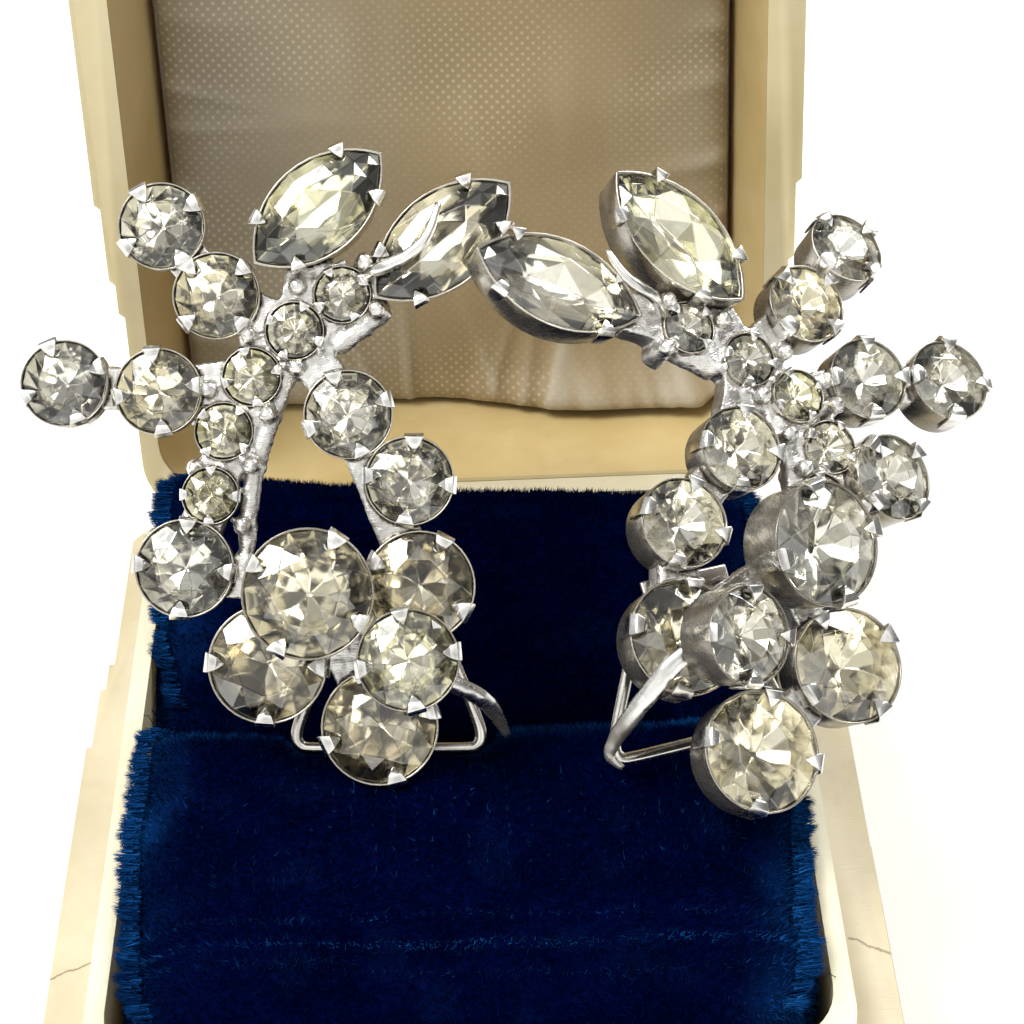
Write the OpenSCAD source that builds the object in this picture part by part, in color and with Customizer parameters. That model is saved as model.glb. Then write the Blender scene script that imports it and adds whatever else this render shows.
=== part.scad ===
// Pair of clip-on rhinestone spray earrings lying in an open hinged ring box.
// Millimetres. Origin at the middle of the box's underside, +X to the right, +Y to the hinge.

/* [Box base] */
// Half width of the lip that the lid closes over
lip_half_w = 22; // [21:0.1:23]
// Half depth of the lip
lip_half_d = 27.25; // [24:0.05:29]
// Height of the base to the top of its lip
base_h = 22; // [20:0.5:24]
// Height of the lip above the shoulder
lip_h = 3; // [2:0.5:4]
// How far the shoulder stands out past the lip
shoulder_out = 1.9; // [1:0.1:2.5]
// How far the foot stands out past the lip
foot_out = 4.2; // [3:0.1:5]
// Thickness of the base's walls at the lip
wall = 1.2; // [1:0.1:2]

/* [Lid] */
// Half width of the lid
lid_half_w = 24.2; // [23:0.1:25]
// Length of the lid from the hinge side to the front
lid_len = 57.5; // [52:0.5:60]
// Depth of the lid
lid_depth = 15; // [12:0.5:18]
// Width of the lid's rim face
rim_w = 2.5; // [2:0.1:4]
// Depth of the lining behind the rim
lining_back = 9; // [6:0.5:11]
// Lean of the open lid past upright, in degrees
lid_lean = 8; // [0:1:15]

/* [Pads] */
// Half width of the two ring pads
pad_half_w = 20.3; // [18:0.1:20.5]
// Height of the front pad's crest
crest_h = 24.2; // [22:0.1:25]
// Width of the slot between the pads
slot_w = 2.2; // [1.6:0.1:3]

/* [Cups and stones] */
// Height of a low cup from its back to its rim
cup_h = 2.6; // [2:0.1:3.2]
// Thickness of a cup's wall
cup_t = 0.22; // [0.15:0.01:0.3]
// Gap between a stone's edge and its cup
stone_gap = 0.08; // [0.05:0.01:0.12]
// Crown height as a part of the stone's radius
crown_k = 0.22; // [0.15:0.01:0.3]
// Table radius as a part of the stone's radius
table_k = 0.55; // [0.4:0.01:0.65]
// Width of a prong where it leaves the cup
prong_w = 1.05; // [0.7:0.05:1.4]

/* [Clips] */
// Length of the clip hoop from its pivot to its end
hoop_len = 8.9; // [7:0.1:10]
// Half width of the hoop's end
hoop_half_w = 6.15; // [5:0.05:6.5]
// Half width of the hoop at the pivot
root_half_w = 3.3; // [2.8:0.1:4]
// Width of the hoop's wire
wire_w = 0.8; // [0.6:0.05:1]
// Radius of the pivot pins
pivot_r = 0.38; // [0.3:0.01:0.45]
// Clearance round a pin in its bore
fit = 0.05; // [0.03:0.01:0.08]

/* [Hidden] */
// Each earring's own frame has x to its right, y to its top and z out of its face.
left_at = [-10.4, 5.55, 41.5];
left_turn = [52, 0, -2.2];
right_at = [19.2, 3.25, 40.2];
right_turn = [41.8, 7.1, 23.6];

// Columns of the round stones: x, y, rim height, rim radius, first prong's angle, lean, way of the lean.
left_round = [
    [-7.1, 13.5, 0.4, 2.66, 32, 0, 0],
    [-3.8, 9.3, 0.4, 2.66, 43, 0, 0],
    [-13.0, 4.0, 0.4, 2.66, 22, 4, 90],
    [-7.3, 3.5, 0.4, 2.65, 8, 0, 0],
    [4.2, 2.1, 0.6, 2.72, 20, 3, 30],
    [7.9, -1.9, 0.6, 2.73, 84, 3, 60],
    [-5.7, -7.2, 0.6, 3.0, 85, 3, 90],
    [2.1, -8.6, 5.0, 3.92, 62, 3, 60],
    [8.5, -8.3, 0.4, 3.4, 62, 0, 0],
    [-0.7, -13.0, 0.4, 3.63, 88, 0, 0],
    [6.1, -16.8, 0.4, 3.57, 18, 0, 0],
    [8.0, -12.5, 5.0, 3.05, 10, 4, 60],
];
right_round = [
    [9.4, 12.8, 0.4, 2.5, 25, 15, 60],
    [5.5, 9.7, 0.4, 2.55, 33, 4, 60],
    [13.8, 3.3, 0.4, 2.68, 75, 6, 60],
    [8.2, 4.35, 0.4, 2.6, 80, 0, 0],
    [-1.8, 1.6, 0.6, 2.63, 70, 0, 0],
    [-6.8, -2.1, 0.6, 2.77, 60, 0, 0],
    [7.8, -2.0, 0.6, 2.75, 30, 10, 0],
    [-0.5, -5.7, 5.0, 3.71, 6, 12, 315],
    [-8.7, -8.7, 0.4, 3.49, 67, 0, 0],
    [1.2, -12.5, 0.4, 3.57, 20, 0, 0],
    [-5.9, -16.2, 0.4, 3.67, 65, 0, 0],
    [-7.0, -9.9, 5.0, 2.9, 77, 15, 315],
];
// Columns of the small stones, whose rims are at z = 0: x, y, rim radius.
left_small = [
    [3.8, 9.4, 1.76],
    [0.9, 7.2, 1.8],
    [-1.7, 4.4, 1.82],
    [-3.4, 1.1, 1.79],
    [-4.2, -2.8, 1.76],
];
right_small = [
    [-2.6, 9.6, 1.66],
    [0.8, 7.0, 1.7],
    [3.35, 4.2, 1.7],
    [4.5, 0.7, 1.7],
    [3.0, -2.3, 1.6],
];
// Columns of the marquise stones: x, y, rim height, half length, half width, angle.
left_leaf = [
    [2.4, 14.5, 1.2, 5.1, 2.85, 41],
    [9.9, 12.65, 0.6, 5.4, 2.9, 40.4],
];
right_leaf = [
    [-2.1, 15.0, 1.2, 5.5, 2.85, 123],
    [-10.4, 13.5, 0.6, 5.5, 2.85, 148],
];
// Soldered bars run between these places in an earring's plane: x and y of one end, then of the other.
left_bars = [
    [-7.1, 13.5, -3.8, 9.3],
    [-3.8, 9.3, 0.9, 7.2],
    [-13.0, 4.0, -7.3, 3.5],
    [-7.3, 3.5, -1.7, 4.4],
    [3.8, 9.4, -1.7, 4.4],
    [-1.7, 4.4, -4.2, -2.8],
    [-4.2, -2.8, -5.7, -7.2],
    [0.9, 7.2, 4.2, 2.1],
    [4.2, 2.1, 8.5, -8.3],
    [0.9, 7.2, 2.4, 14.5],
    [3.8, 9.4, 9.9, 12.65],
    [-5.7, -7.2, 2.1, -8.6],
    [2.1, -8.6, 8.5, -8.3],
    [2.1, -8.6, -0.7, -13.0],
    [2.1, -8.6, 6.1, -16.8],
    [9.6, -12.9, 6.1, -16.8],
];
right_bars = [
    [9.4, 12.8, 5.5, 9.7],
    [5.5, 9.7, 0.8, 7.0],
    [13.8, 3.3, 8.2, 4.35],
    [8.2, 4.35, 3.35, 4.2],
    [-2.6, 9.6, 3.35, 4.2],
    [3.35, 4.2, 3.0, -2.3],
    [3.0, -2.3, 7.8, -2.0],
    [0.8, 7.0, -1.8, 1.6],
    [-1.8, 1.6, -6.8, -2.1],
    [-6.8, -2.1, -8.7, -8.7],
    [0.8, 7.0, -2.1, 15.0],
    [-2.6, 9.6, -10.4, 13.5],
    [3.0, -2.3, -0.5, -5.7],
    [-0.5, -5.7, -8.7, -8.7],
    [-0.5, -5.7, 1.2, -12.5],
    [1.2, -12.5, -5.9, -16.2],
];
// Posts under the two raised cups: x, y, radius, top.
left_posts = [[2.4, -7.3, 1.9, 1.6], [9.4, -12.9, 1.0, 2.2]];
right_posts = [[-0.8, -6.2, 1.9, 1.6], [-4.9, -11.0, 0.9, 2.2]];
// Grains of solder that hold the small stones: x and y.
left_grains = [
    [1.1, 9.9], [5.9, 8.5], [-1.9, 6.9], [1.0, 5.0], [-0.7, 2.1],
    [-4.3, 3.6], [-1.7, -1.0], [-5.1, -1.2], [-2.2, -4.6], [5.2, 11.4],
];
right_grains = [
    [-0.3, 9.7], [-4.6, 8.6], [3.1, 7.0], [0.8, 4.6], [1.9, 1.9],
    [5.6, 3.2], [2.2, -0.3], [6.2, -0.2], [-3.6, 11.4], [5.0, -3.6],
];
// Round rods soldered to the cups: three coordinates and a radius at each place along one.
left_rib = [
    [0.5, 4.5, -0.9, 0.4], [-0.85, 1.2, -0.9, 0.45],
    [-1.9, -2.5, -0.9, 0.45], [-2.1, -6.3, -0.9, 0.4],
];
right_rib = [
    [1.2, 4.3, -0.9, 0.4], [2.1, 1.2, -0.9, 0.45],
    [1.2, -2.0, -0.9, 0.45], [0.6, -4.4, -0.9, 0.4],
];
left_tendril = [
    [4.9, 10.4, -0.8, 0.45], [6.4, 10.85, 2.2, 0.42], [8.1, 11.6, 2.3, 0.36],
    [9.3, 13.1, 2.2, 0.3], [9.7, 14.7, 2.0, 0.26],
];
right_tendril = [
    [-3.8, 10.8, -0.8, 0.45], [-5.6, 11.6, 2.1, 0.4],
    [-7.0, 12.8, 2.2, 0.34], [-7.6, 14.6, 2.1, 0.26],
];
left_stem = [[9.4, -12.9, 0.9, 0.5], [10.9, -14.9, -0.4, 0.55], [13.7, -17.7, -3.0, 0.35]];
right_stem = [[-5.4, -10.6, 2.3, 0.5], [-9.3, -12.1, 2.0, 0.55], [-13.2, -13.6, -3.2, 0.3]];
left_knob = [[3.4, 6.2, -1.0, 0.5], [6.4, 8.7, -0.8, 0.62]];
right_knob = [[-1.2, 7.0, -1.2, 0.6], [-4.8, 9.4, -1.1, 0.45]];

// Pivot of each clip hoop in its earring's frame, and the hoop's opening at rest in degrees.
left_pivot = [6.45, -10.0, -3.95];
right_pivot = [-6.3, -6.2, -3.95];
left_open = 0;
right_open = 16;

axis_y = lip_half_d + 1;
axis_z = base_h - lip_h;
knuckle_r = 1.5;
knuckle_len = 6;
// Middle of each of the base's two knuckles
knuckle_x = 12.1;
lid_knuckle_w = 11.2;
side_gap = 0.3;
notch_w = lid_knuckle_w + 2 * side_gap;
hinge_r = 0.6;
pin_len = 30;
floor_t = 2;
lid_draft = 1.6;
// Step in the base's rear edge, below the hinge line
hinge_step = 0.75;
// Radius of the pads' front corners, and of the room for them
pad_corner = 4;
// Lid: its hinge side's height above the hinge line, the rim's distance from that line, and its back wall
lid_drop = -0.5;
rim_back = 0.15;
back_t = 1.8;
// Steps in the lid's sides, and their heights above its hinge side
step = 0.4;
step_at = [16.6, 19.1, 24.8];
// The base's sides have them too, smaller: the base widens from its hinge side to its front
base_step = 0.35;
foot_h = 7;
waist_in = 0.8;
waist_h = 8.4;

// Lowest plane of the low cups, and how far the other pieces behind them stop short of it
back_z = 0.4 - cup_h;
bar_lift = 0.15;
post_lift = 0.3;
leaf_lift = 0.08;
grain_lift = 0.1;
sides = 16;
small_sides = 12;
small_h = 2.1;
rod_sides = 6;
cup_floor = 0.35;
grain_h = 2.35;
bar_top = -0.47;
bar_w = 1.3;
leaf_room = 1.9;
// Place of a marquise's claws along its half length, and how far they turn to its points
leaf_claw = 0.52;
claw_turn = 32;

// Clips: the hoop's thickness, its cut corners, its reach above the pivot, its pins, and the bracket's ears
wire_t = 0.6;
bevel = 0.9;
root_up = 0.7;
pivot_len = 1.5;
ear_t = 0.9;
ear_w = 1.6;
metal = "silver";
ivory = "wheat";

function flat(lists) = [for (l = lists) for (v = l) v];
function arc(cx, cy, r, a0, a1, n) =
    [for (i = [0:n]) let (a = a0 + (a1 - a0) * i / n) [cx + r * cos(a), cy + r * sin(a)]];
// Outline with its own corner radii at the front and the rear
function plan(w, d, rf, rr) = flat([
    arc(w - rr, d - rr, rr, 0, 90, 5),
    arc(-w + rr, d - rr, rr, 90, 180, 5),
    arc(-w + rf, -d + rf, rf, 180, 270, 4),
    arc(w - rf, -d + rf, rf, 270, 360, 4)]);
// Outline of a marquise: two arcs that meet in points at x = -a and x = a
function leaf_r(a, b) = (a * a + b * b) / (2 * b);
function leaf_side(a, b, n) = let (r = leaf_r(a, b), h = asin(a / r))
    [for (i = [0:n - 1]) let (t = h - 2 * h * i / n) [r * sin(t), r * cos(t) - r + b]];
function leaf(a, b, n) = concat(leaf_side(a, b, n), [for (p = leaf_side(a, b, n)) -p]);

module on_left() {
    translate(left_at) rotate([left_turn[0], 0, 0]) rotate([0, 0, left_turn[2]]) children();
}

module on_right() {
    translate(right_at) rotate(right_turn) children();
}

module lean(s) {
    translate([s[0], s[1], s[2]]) rotate(a = s[5], v = [-sin(s[6]), cos(s[6]), 0.0001]) children();
}

module round_stone(r) {
    g = r - cup_t - stone_gap;
    translate([0, 0, -0.15]) hull() {
        translate([0, 0, crown_k * g - 0.02]) cylinder(h = 0.02, r = table_k * g, $fn = 8);
        translate([0, 0, -0.12]) rotate(11.25) cylinder(h = 0.12, r = g, $fn = sides);
        translate([0, 0, -0.6 * g]) cylinder(h = 0.03, r1 = 0, r2 = 0.01, $fn = 4);
    }
}

module small_stone(r) {
    g = r - cup_t - stone_gap;
    translate([0, 0, -0.1]) hull() {
        translate([0, 0, 0.25 * g - 0.02]) cylinder(h = 0.02, r = 0.5 * g, $fn = 6);
        translate([0, 0, -0.1]) rotate(15) cylinder(h = 0.1, r = g, $fn = 12);
        translate([0, 0, -0.6 * g]) cylinder(h = 0.03, r1 = 0, r2 = 0.01, $fn = 4);
    }
}

module leaf_stone(a, b) {
    k = 1 - (cup_t + stone_gap) / b;
    translate([0, 0, -0.15]) hull() {
        translate([0, 0, 0.75]) linear_extrude(0.02) polygon(leaf(a * 0.58, b * 0.5, 4));
        translate([0, 0, -0.12]) linear_extrude(0.12) polygon(leaf(a * k, b * k, 6));
        translate([-a * 0.3, 0, -1.5]) cylinder(h = 0.03, r1 = 0, r2 = 0.01, $fn = 4);
        translate([a * 0.3, 0, -1.5]) cylinder(h = 0.03, r1 = 0, r2 = 0.01, $fn = 4);
    }
}

// A claw that stands on the cup's wall at x = r and bends in over the stone
module prong(r, w, over) {
    hull() {
        translate([r - 0.02, -w / 2, -0.3]) cube([0.2, w, 0.45]);
        translate([r - over, -0.12, 0.46]) cube([0.3, 0.24, 0.2]);
    }
}

module round_prongs(s) {
    for (i = [0:3]) rotate(s[4] + 90 * i) prong(s[3] - 0.1, prong_w, 0.75);
}

module leaf_prongs(a, b) {
    for (u = [-leaf_claw, leaf_claw], v = [-1, 1])
        translate([u * a, 0, 0]) rotate(v * (90 - u * claw_turn)) prong(b * 0.76, 0.85, 0.7);
}

module cup_outside(r, h, n) {
    translate([0, 0, -h]) rotate(180 / n) cylinder(h = h, r = r, $fn = n);
}

// Room for a stone, from the cup's floor to just above the stone
module cup_room(r, h, n) {
    translate([0, 0, -h + cup_floor]) rotate(180 / n)
        cylinder(h = h - cup_floor + 0.75, r = r - cup_t, $fn = n);
}

module bar(b, z0, z1, w) {
    run = [b[2] - b[0], b[3] - b[1]];
    translate([b[0], b[1], z0]) rotate(atan2(run[1], run[0])) translate([0, -w / 2, 0])
        cube([norm(run), w, z1 - z0]);
}

// Links round beads of the given radii into one bent rod
module rod(path, n) {
    for (i = [0:len(path) - 2]) hull() for (p = [path[i], path[i + 1]])
        translate([p[0], p[1], p[2]]) sphere(r = p[3], $fn = n);
}

// Height of a cup's body: the two raised ones end above their neighbours
function body_h(s) = s[2] > 3 ? (s[3] > 3.3 ? 3.5 : 3.0) : cup_h + (s[2] - 0.4);

module setting(rounds, smalls, leaves, bars, posts, grains, rods) {
    difference() {
        union() {
            for (s = rounds) lean(s) cup_outside(s[3], body_h(s), sides);
            for (s = smalls) translate([s[0], s[1], 0]) cup_outside(s[2], small_h, small_sides);
            for (s = leaves) translate([s[0], s[1], s[2]]) rotate(s[5])
                translate([0, 0, back_z + leaf_lift - s[2]])
                    linear_extrude(s[2] - back_z - leaf_lift) polygon(leaf(s[3], s[4], 6));
            for (b = bars) bar(b, back_z + bar_lift, bar_top, bar_w);
            for (p = posts) translate([p[0], p[1], back_z + post_lift])
                cylinder(h = p[3] - back_z - post_lift, r = p[2], $fn = 8);
        }
        for (s = rounds) lean(s) cup_room(s[3], body_h(s), sides);
        for (s = smalls) translate([s[0], s[1], 0]) cup_room(s[2], small_h, small_sides);
        for (s = leaves) translate([s[0], s[1], s[2]]) rotate(s[5]) translate([0, 0, -leaf_room])
            linear_extrude(leaf_room + 1) polygon(leaf(s[3] * (1 - cup_t / s[4]), s[4] - cup_t, 6));
    }
    for (s = rounds) lean(s) round_prongs(s);
    for (s = leaves) translate([s[0], s[1], s[2]]) rotate(s[5]) leaf_prongs(s[3], s[4]);
    for (g = grains) translate([g[0], g[1], back_z + grain_lift])
        cylinder(h = grain_h, r1 = 0.6, r2 = 0.3, $fn = 6);
    for (path = rods) rod(path, rod_sides);
}

module left_setting() {
    color(metal) on_left() setting(left_round, left_small, left_leaf, left_bars, left_posts,
        left_grains, [left_rib, left_tendril, left_stem, left_knob]);
}

module right_setting() {
    color(metal) on_right() setting(right_round, right_small, right_leaf, right_bars, right_posts,
        right_grains, [right_rib, right_tendril, right_stem, right_knob]);
}

// Plate with two bored ears behind the cups
module clip_bracket() {
    ear_x = root_half_w - wire_w - ear_t / 2 - 0.1;
    for (x = [-1, 1]) translate([x * ear_x - ear_t / 2, -ear_w / 2, 0]) difference() {
        translate([0, 0, -0.85]) cube([ear_t, ear_w, 2.4]);
        translate([-1, ear_w / 2, 0]) rotate([0, 90, 0]) cylinder(h = ear_t + 2, r = pivot_r + fit, $fn = 32);
    }
    translate([-root_half_w, -ear_w, 1.2]) cube([2 * root_half_w, 2 * ear_w, 0.35]);
}

module left_clip_bracket() {
    color(metal) on_left() translate(left_pivot) clip_bracket();
}

module right_clip_bracket() {
    color(metal) on_right() translate(right_pivot) clip_bracket();
}

// Tapered wire hoop that hangs from its pivot, with two pins that point inward
module clip_hoop() {
    outside = [[root_half_w, root_up], [hoop_half_w, -hoop_len + bevel], [hoop_half_w - bevel, -hoop_len]];
    inside = [
        [root_half_w - wire_w, root_up + 0.2], [root_half_w - wire_w, 0],
        [hoop_half_w - wire_w, -hoop_len + bevel + 0.2], [hoop_half_w - bevel - 0.3, -hoop_len + wire_w],
    ];
    difference() {
        translate([0, 0, -wire_t / 2]) linear_extrude(wire_t) polygon(mirror_outline(outside));
        translate([0, 0, -wire_t]) linear_extrude(2 * wire_t) polygon(mirror_outline(inside));
    }
    for (x = [-1, 1]) translate([x * (root_half_w - wire_w / 2), 0, 0]) rotate([0, -x * 90, 0])
        cylinder(h = pivot_len, r = pivot_r, $fn = 32);
}

module left_clip_hoop() {
    color(metal) on_left() translate(left_pivot) rotate([left_open, 0, 0]) clip_hoop();
}

module right_clip_hoop() {
    color(metal) on_right() translate(right_pivot) rotate([right_open, 0, 0]) clip_hoop();
}

module slab(out, wide, z, h, rf, rr) {
    translate([0, 0, z]) linear_extrude(h) polygon(plan(lip_half_w + out + wide, lip_half_d + out, rf, rr));
}

// Cross-section of what lies beside the base, left (way = -1) or right, at a distance past its rear width
function beside(way, wide) =
    let (s = lip_half_w + shoulder_out + wide, f = lip_half_w + foot_out + wide, far = f + 5)
    [for (p = [[f, -1], [f, foot_h], [f - waist_in, waist_h], [s, axis_z],
        [s, base_h], [far, base_h], [far, -1]]) [way * p[0], p[1]]];

module base_body() {
    slab(0, 0, 1, base_h - 1, 3.5, 5);
    difference() {
        union() {
            hull() {
                slab(shoulder_out, 3 * base_step, axis_z - 0.4, 0.4, 4.5, 7);
                slab(foot_out - waist_in, 3 * base_step, waist_h - 0.4, 0.4, 5, 8);
            }
            hull() {
                slab(foot_out - waist_in, 3 * base_step, waist_h - 0.4, 0.4, 5, 8);
                slab(foot_out, 3 * base_step, 0, foot_h, 5, 8);
            }
        }
        for (i = [0:2], way = [-1, 1]) translate([0, axis_y + 10, 0]) rotate([90, 0, 0])
            linear_extrude(10 + lid_drop + step_at[i]) polygon(beside(way, i * base_step));
    }
}

// The rear edge steps down behind the hinge line, so that the open lid's edge hangs clear of it
module box_base() {
    color(ivory) difference() {
        union() {
            difference() {
                base_body();
                translate([-lip_half_w, axis_y - 0.05, axis_z - hinge_step]) cube([2 * lip_half_w, 5, 5]);
            }
            for (x = [-1, 1]) translate([x * knuckle_x - knuckle_len / 2, axis_y, axis_z]) rotate([0, 90, 0])
                cylinder(h = knuckle_len, r = knuckle_r, $fn = 40);
        }
        translate([0, 0, floor_t]) linear_extrude(base_h)
            polygon(plan(lip_half_w - wall, lip_half_d - wall - 0.6, pad_corner, 3));
        translate([-notch_w / 2, axis_y, axis_z]) rotate([0, 90, 0])
            cylinder(h = notch_w, r = knuckle_r + 0.5, $fn = 40);
        translate([-notch_w / 2, axis_y, axis_z - 2]) cube([notch_w, 10, 6]);
        for (x = [-1, 1]) translate([x * knuckle_x - knuckle_len / 2 - 3.2, axis_y, axis_z + 0.4])
            rotate([0, 90, 0]) cylinder(h = knuckle_len + 6.4, r = hinge_r + fit, $fn = 40);
        translate([-pin_len * 2 / 3, axis_y, axis_z]) rotate([0, 90, 0])
            cylinder(h = pin_len * 4 / 3, r = hinge_r + fit, $fn = 40);
    }
}

module hinge_pin() {
    color(metal) translate([-pin_len / 2, axis_y, axis_z]) rotate([0, 90, 0])
        cylinder(h = pin_len, r = hinge_r, $fn = 40);
}

// Half outline of the lid with the small steps in its sides, from the hinge side up
function lid_half(w, l, r) = concat(
    arc(w - 3 * step - r, r, r, -90, 0, 5),
    flat([for (i = [0:2]) [[w - step * (3 - i), step_at[i]], [w - step * (2 - i), step_at[i]]]]),
    [[w, l - 2], [w - 2, l]]);
function room_half(w, l, r) = concat(arc(w - r, r, r, -90, 0, 4), [[w, l - 1], [w - 1, l]]);
function mirror_outline(h) = concat(h, [for (i = [len(h) - 1:-1:0]) [-h[i][0], h[i][1]]]);

module in_lid() {
    translate([0, axis_y, axis_z]) rotate([-lid_lean, 0, 0]) children();
}

module lid_slab(points, y0, y1) {
    translate([0, y1, 0]) rotate([90, 0, 0]) linear_extrude(y1 - y0) polygon(points);
}

// Cross-section of the lid's hollow, drawn in from the rim by inset
module lid_room(inset, y0, y1) {
    half = room_half(lid_half_w - rim_w - inset, lid_len - 2 * rim_w - 2 * inset, 4);
    translate([0, 0, rim_w + lid_drop + inset]) lid_slab(mirror_outline(half), y0, y1);
}

module lid_shell() {
    color(ivory) in_lid() difference() {
        union() {
            translate([0, 0, lid_drop])
                lid_slab(mirror_outline(lid_half(lid_half_w, lid_len, 5)), rim_back, lid_depth);
            translate([-lid_knuckle_w / 2, 0, 0]) rotate([0, 90, 0])
                cylinder(h = lid_knuckle_w, r = knuckle_r, $fn = 40);
            translate([-lid_knuckle_w / 2, 0, -knuckle_r]) cube([lid_knuckle_w, 1.5, 2.5]);
        }
        hull() {
            lid_room(0, -0.5, 0);
            lid_room(lid_draft, lid_depth - back_t, lid_depth - back_t + 0.1);
        }
        for (x = [-1, 1]) translate([x * knuckle_x - knuckle_len / 2 - side_gap, 0, 0]) rotate([0, 90, 0])
            cylinder(h = knuckle_len + 2 * side_gap, r = knuckle_r + 0.4, $fn = 40);
        translate([-pin_len * 2 / 3, 0, 0]) rotate([0, 90, 0])
            cylinder(h = pin_len * 4 / 3, r = hinge_r + fit, $fn = 40);
    }
}

module lid_lining() {
    gap = 0.1;
    color("tan") in_lid() translate([0, 0, gap])
        lid_room(lid_draft + gap, lining_back, lid_depth - back_t - gap);
}

// The pads' profiles run across the box, y and z
front_edge = -lip_half_d + wall + 0.9;
slot_front = 2.65;
slot_rear = slot_front + slot_w;
front_profile = [
    [slot_front, floor_t + 0.1], [slot_front, crest_h - 4.2], [1.65, crest_h - 2.6],
    [0.45, crest_h - 0.9], [-0.55, crest_h - 0.15], [-1.95, crest_h],
    [-7, crest_h + 0.1], [-15, crest_h], [-20.5, crest_h - 0.6],
    [-23.6, crest_h - 1.9], [front_edge, crest_h - 4.2], [front_edge, floor_t + 0.1],
];
rear_edge = lip_half_d - wall - 0.9;
rear_profile = [
    [slot_rear, floor_t + 0.1], [rear_edge, floor_t + 0.1], [rear_edge, crest_h - 3.4],
    [24.25, crest_h - 1.6], [21.75, crest_h - 0.4], [18.25, crest_h - 0.1],
    [13.75, crest_h - 0.5], [9.25, crest_h - 2.4], [slot_rear, crest_h - 5.2],
];

module pad(profile) {
    intersection() {
        translate([-pad_half_w, 0, 0]) rotate([90, 0, 90]) linear_extrude(2 * pad_half_w) polygon(profile);
        linear_extrude(crest_h + 1) polygon(plan(pad_half_w, rear_edge, pad_corner, 3.1));
    }
}

// The front pad gives way to the left earring: to its hoop's swing and to its lowest cup
module pad_front() {
    low = left_round[10];
    color("navy") difference() {
        pad(front_profile);
        on_left() translate(left_pivot) rotate([0, 90, 0])
            cylinder(h = 2 * hoop_half_w + 1.6, r = hoop_len + 0.8, center = true, $fn = 48);
        on_left() translate([low[0], low[1], back_z - 0.3]) cylinder(h = 10, r = low[3] + 0.6, $fn = 32);
    }
}

module pad_rear() {
    color("navy") pad(rear_profile);
}

function names(side, kind, n) = [for (i = [1:n]) str(side, "_", kind, "_", i)];

module all_rounds(side, rounds) {
    for (i = [0:len(rounds) - 1]) lean(rounds[i]) round_stone(rounds[i][3]);
}

module all_smalls(side, smalls) {
    for (i = [0:len(smalls) - 1]) translate([smalls[i][0], smalls[i][1], 0]) small_stone(smalls[i][2]);
}

module all_leaves(side, leaves) {
    for (i = [0:len(leaves) - 1]) let (s = leaves[i])
        translate([s[0], s[1], s[2]]) rotate(s[5]) leaf_stone(s[3], s[4]);
}

module stones(side, rounds, smalls, leaves) {
    color("lightgray") {
        all_rounds(side, rounds);
        all_smalls(side, smalls);
        all_leaves(side, leaves);
    }
}

box_base();
pad_front();
pad_rear();
hinge_pin();
lid_shell();
lid_lining();
left_setting();
right_setting();
left_clip_bracket();
right_clip_bracket();
left_clip_hoop();
right_clip_hoop();
on_left() stones("left", left_round, left_small, left_leaf);
on_right() stones("right", right_round, right_small, right_leaf);
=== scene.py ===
import math

import bmesh
import bpy
import numpy as np
from mathutils import Matrix, Vector, noise


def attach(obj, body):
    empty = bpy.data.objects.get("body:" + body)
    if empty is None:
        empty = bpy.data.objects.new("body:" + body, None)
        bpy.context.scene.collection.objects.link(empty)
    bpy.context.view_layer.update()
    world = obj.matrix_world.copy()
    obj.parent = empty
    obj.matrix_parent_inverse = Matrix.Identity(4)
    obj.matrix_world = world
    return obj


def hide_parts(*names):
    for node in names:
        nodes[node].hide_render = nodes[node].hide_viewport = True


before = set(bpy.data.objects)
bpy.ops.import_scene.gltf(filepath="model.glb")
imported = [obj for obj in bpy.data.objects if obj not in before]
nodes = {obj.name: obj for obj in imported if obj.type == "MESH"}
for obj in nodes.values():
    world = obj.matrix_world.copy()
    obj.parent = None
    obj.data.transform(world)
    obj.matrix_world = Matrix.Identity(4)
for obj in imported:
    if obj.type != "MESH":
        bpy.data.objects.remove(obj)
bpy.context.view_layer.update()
print("frame:", len(nodes), "nodes")

# Pieces are modelled in millimetres, in the frame of what they sit in, and set in metres at the end.
toMetres = Matrix.Scale(0.001, 4)
identity = Matrix.Identity(4)


# Camera, floor and light

camera = {
    "place": (3.54, -119.28, 133.53),  # millimetres
    "elevation": 38.0,  # degrees it looks down
    "roll": 2.2,
    "lens": 89.9,
    "sensor": 36.0,
}
studio = {
    "floorSize": 6.0,
    "floorColour": (1.0, 1.0, 0.985),
    "sky": (1.0, 1.0, 0.985),
    "skyStrength": 0.62,
    "haze": 0.7,  # light from all round, before what the next four add or take away
    "screen": 1.35,
    "ceiling": 0.35,
    "window": 0.3,
    "gloom": (0.35, 0.4),  # to the right and from below
    "softboxes": {  # place, size and power
        "keySoftbox": ((-0.34, -0.1, 0.62), 0.34, 4.5),
        "rimSoftbox": ((0.42, 0.26, 0.5), 0.3, 2.4),
    },
    "aim": (0, 0, 0.03),
}


def addCamera(facts):
    elevation, roll = math.radians(facts["elevation"]), math.radians(facts["roll"])
    forward = Vector((0, math.cos(elevation), -math.sin(elevation)))
    level = Vector((1, 0, 0))
    up = level.cross(forward)
    right = math.cos(roll) * level - math.sin(roll) * up
    up = math.sin(roll) * level + math.cos(roll) * up
    data = bpy.data.cameras.new("photoCamera")
    data.lens, data.sensor_width = facts["lens"], facts["sensor"]
    data.clip_start, data.clip_end = 0.01, 50
    obj = bpy.data.objects.new("photoCamera", data)
    turn = Matrix((right, up, -forward)).transposed().to_4x4()
    obj.matrix_world = Matrix.Translation(Vector(facts["place"]) * 0.001) @ turn
    bpy.context.collection.objects.link(obj)
    bpy.context.scene.camera = obj


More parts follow.
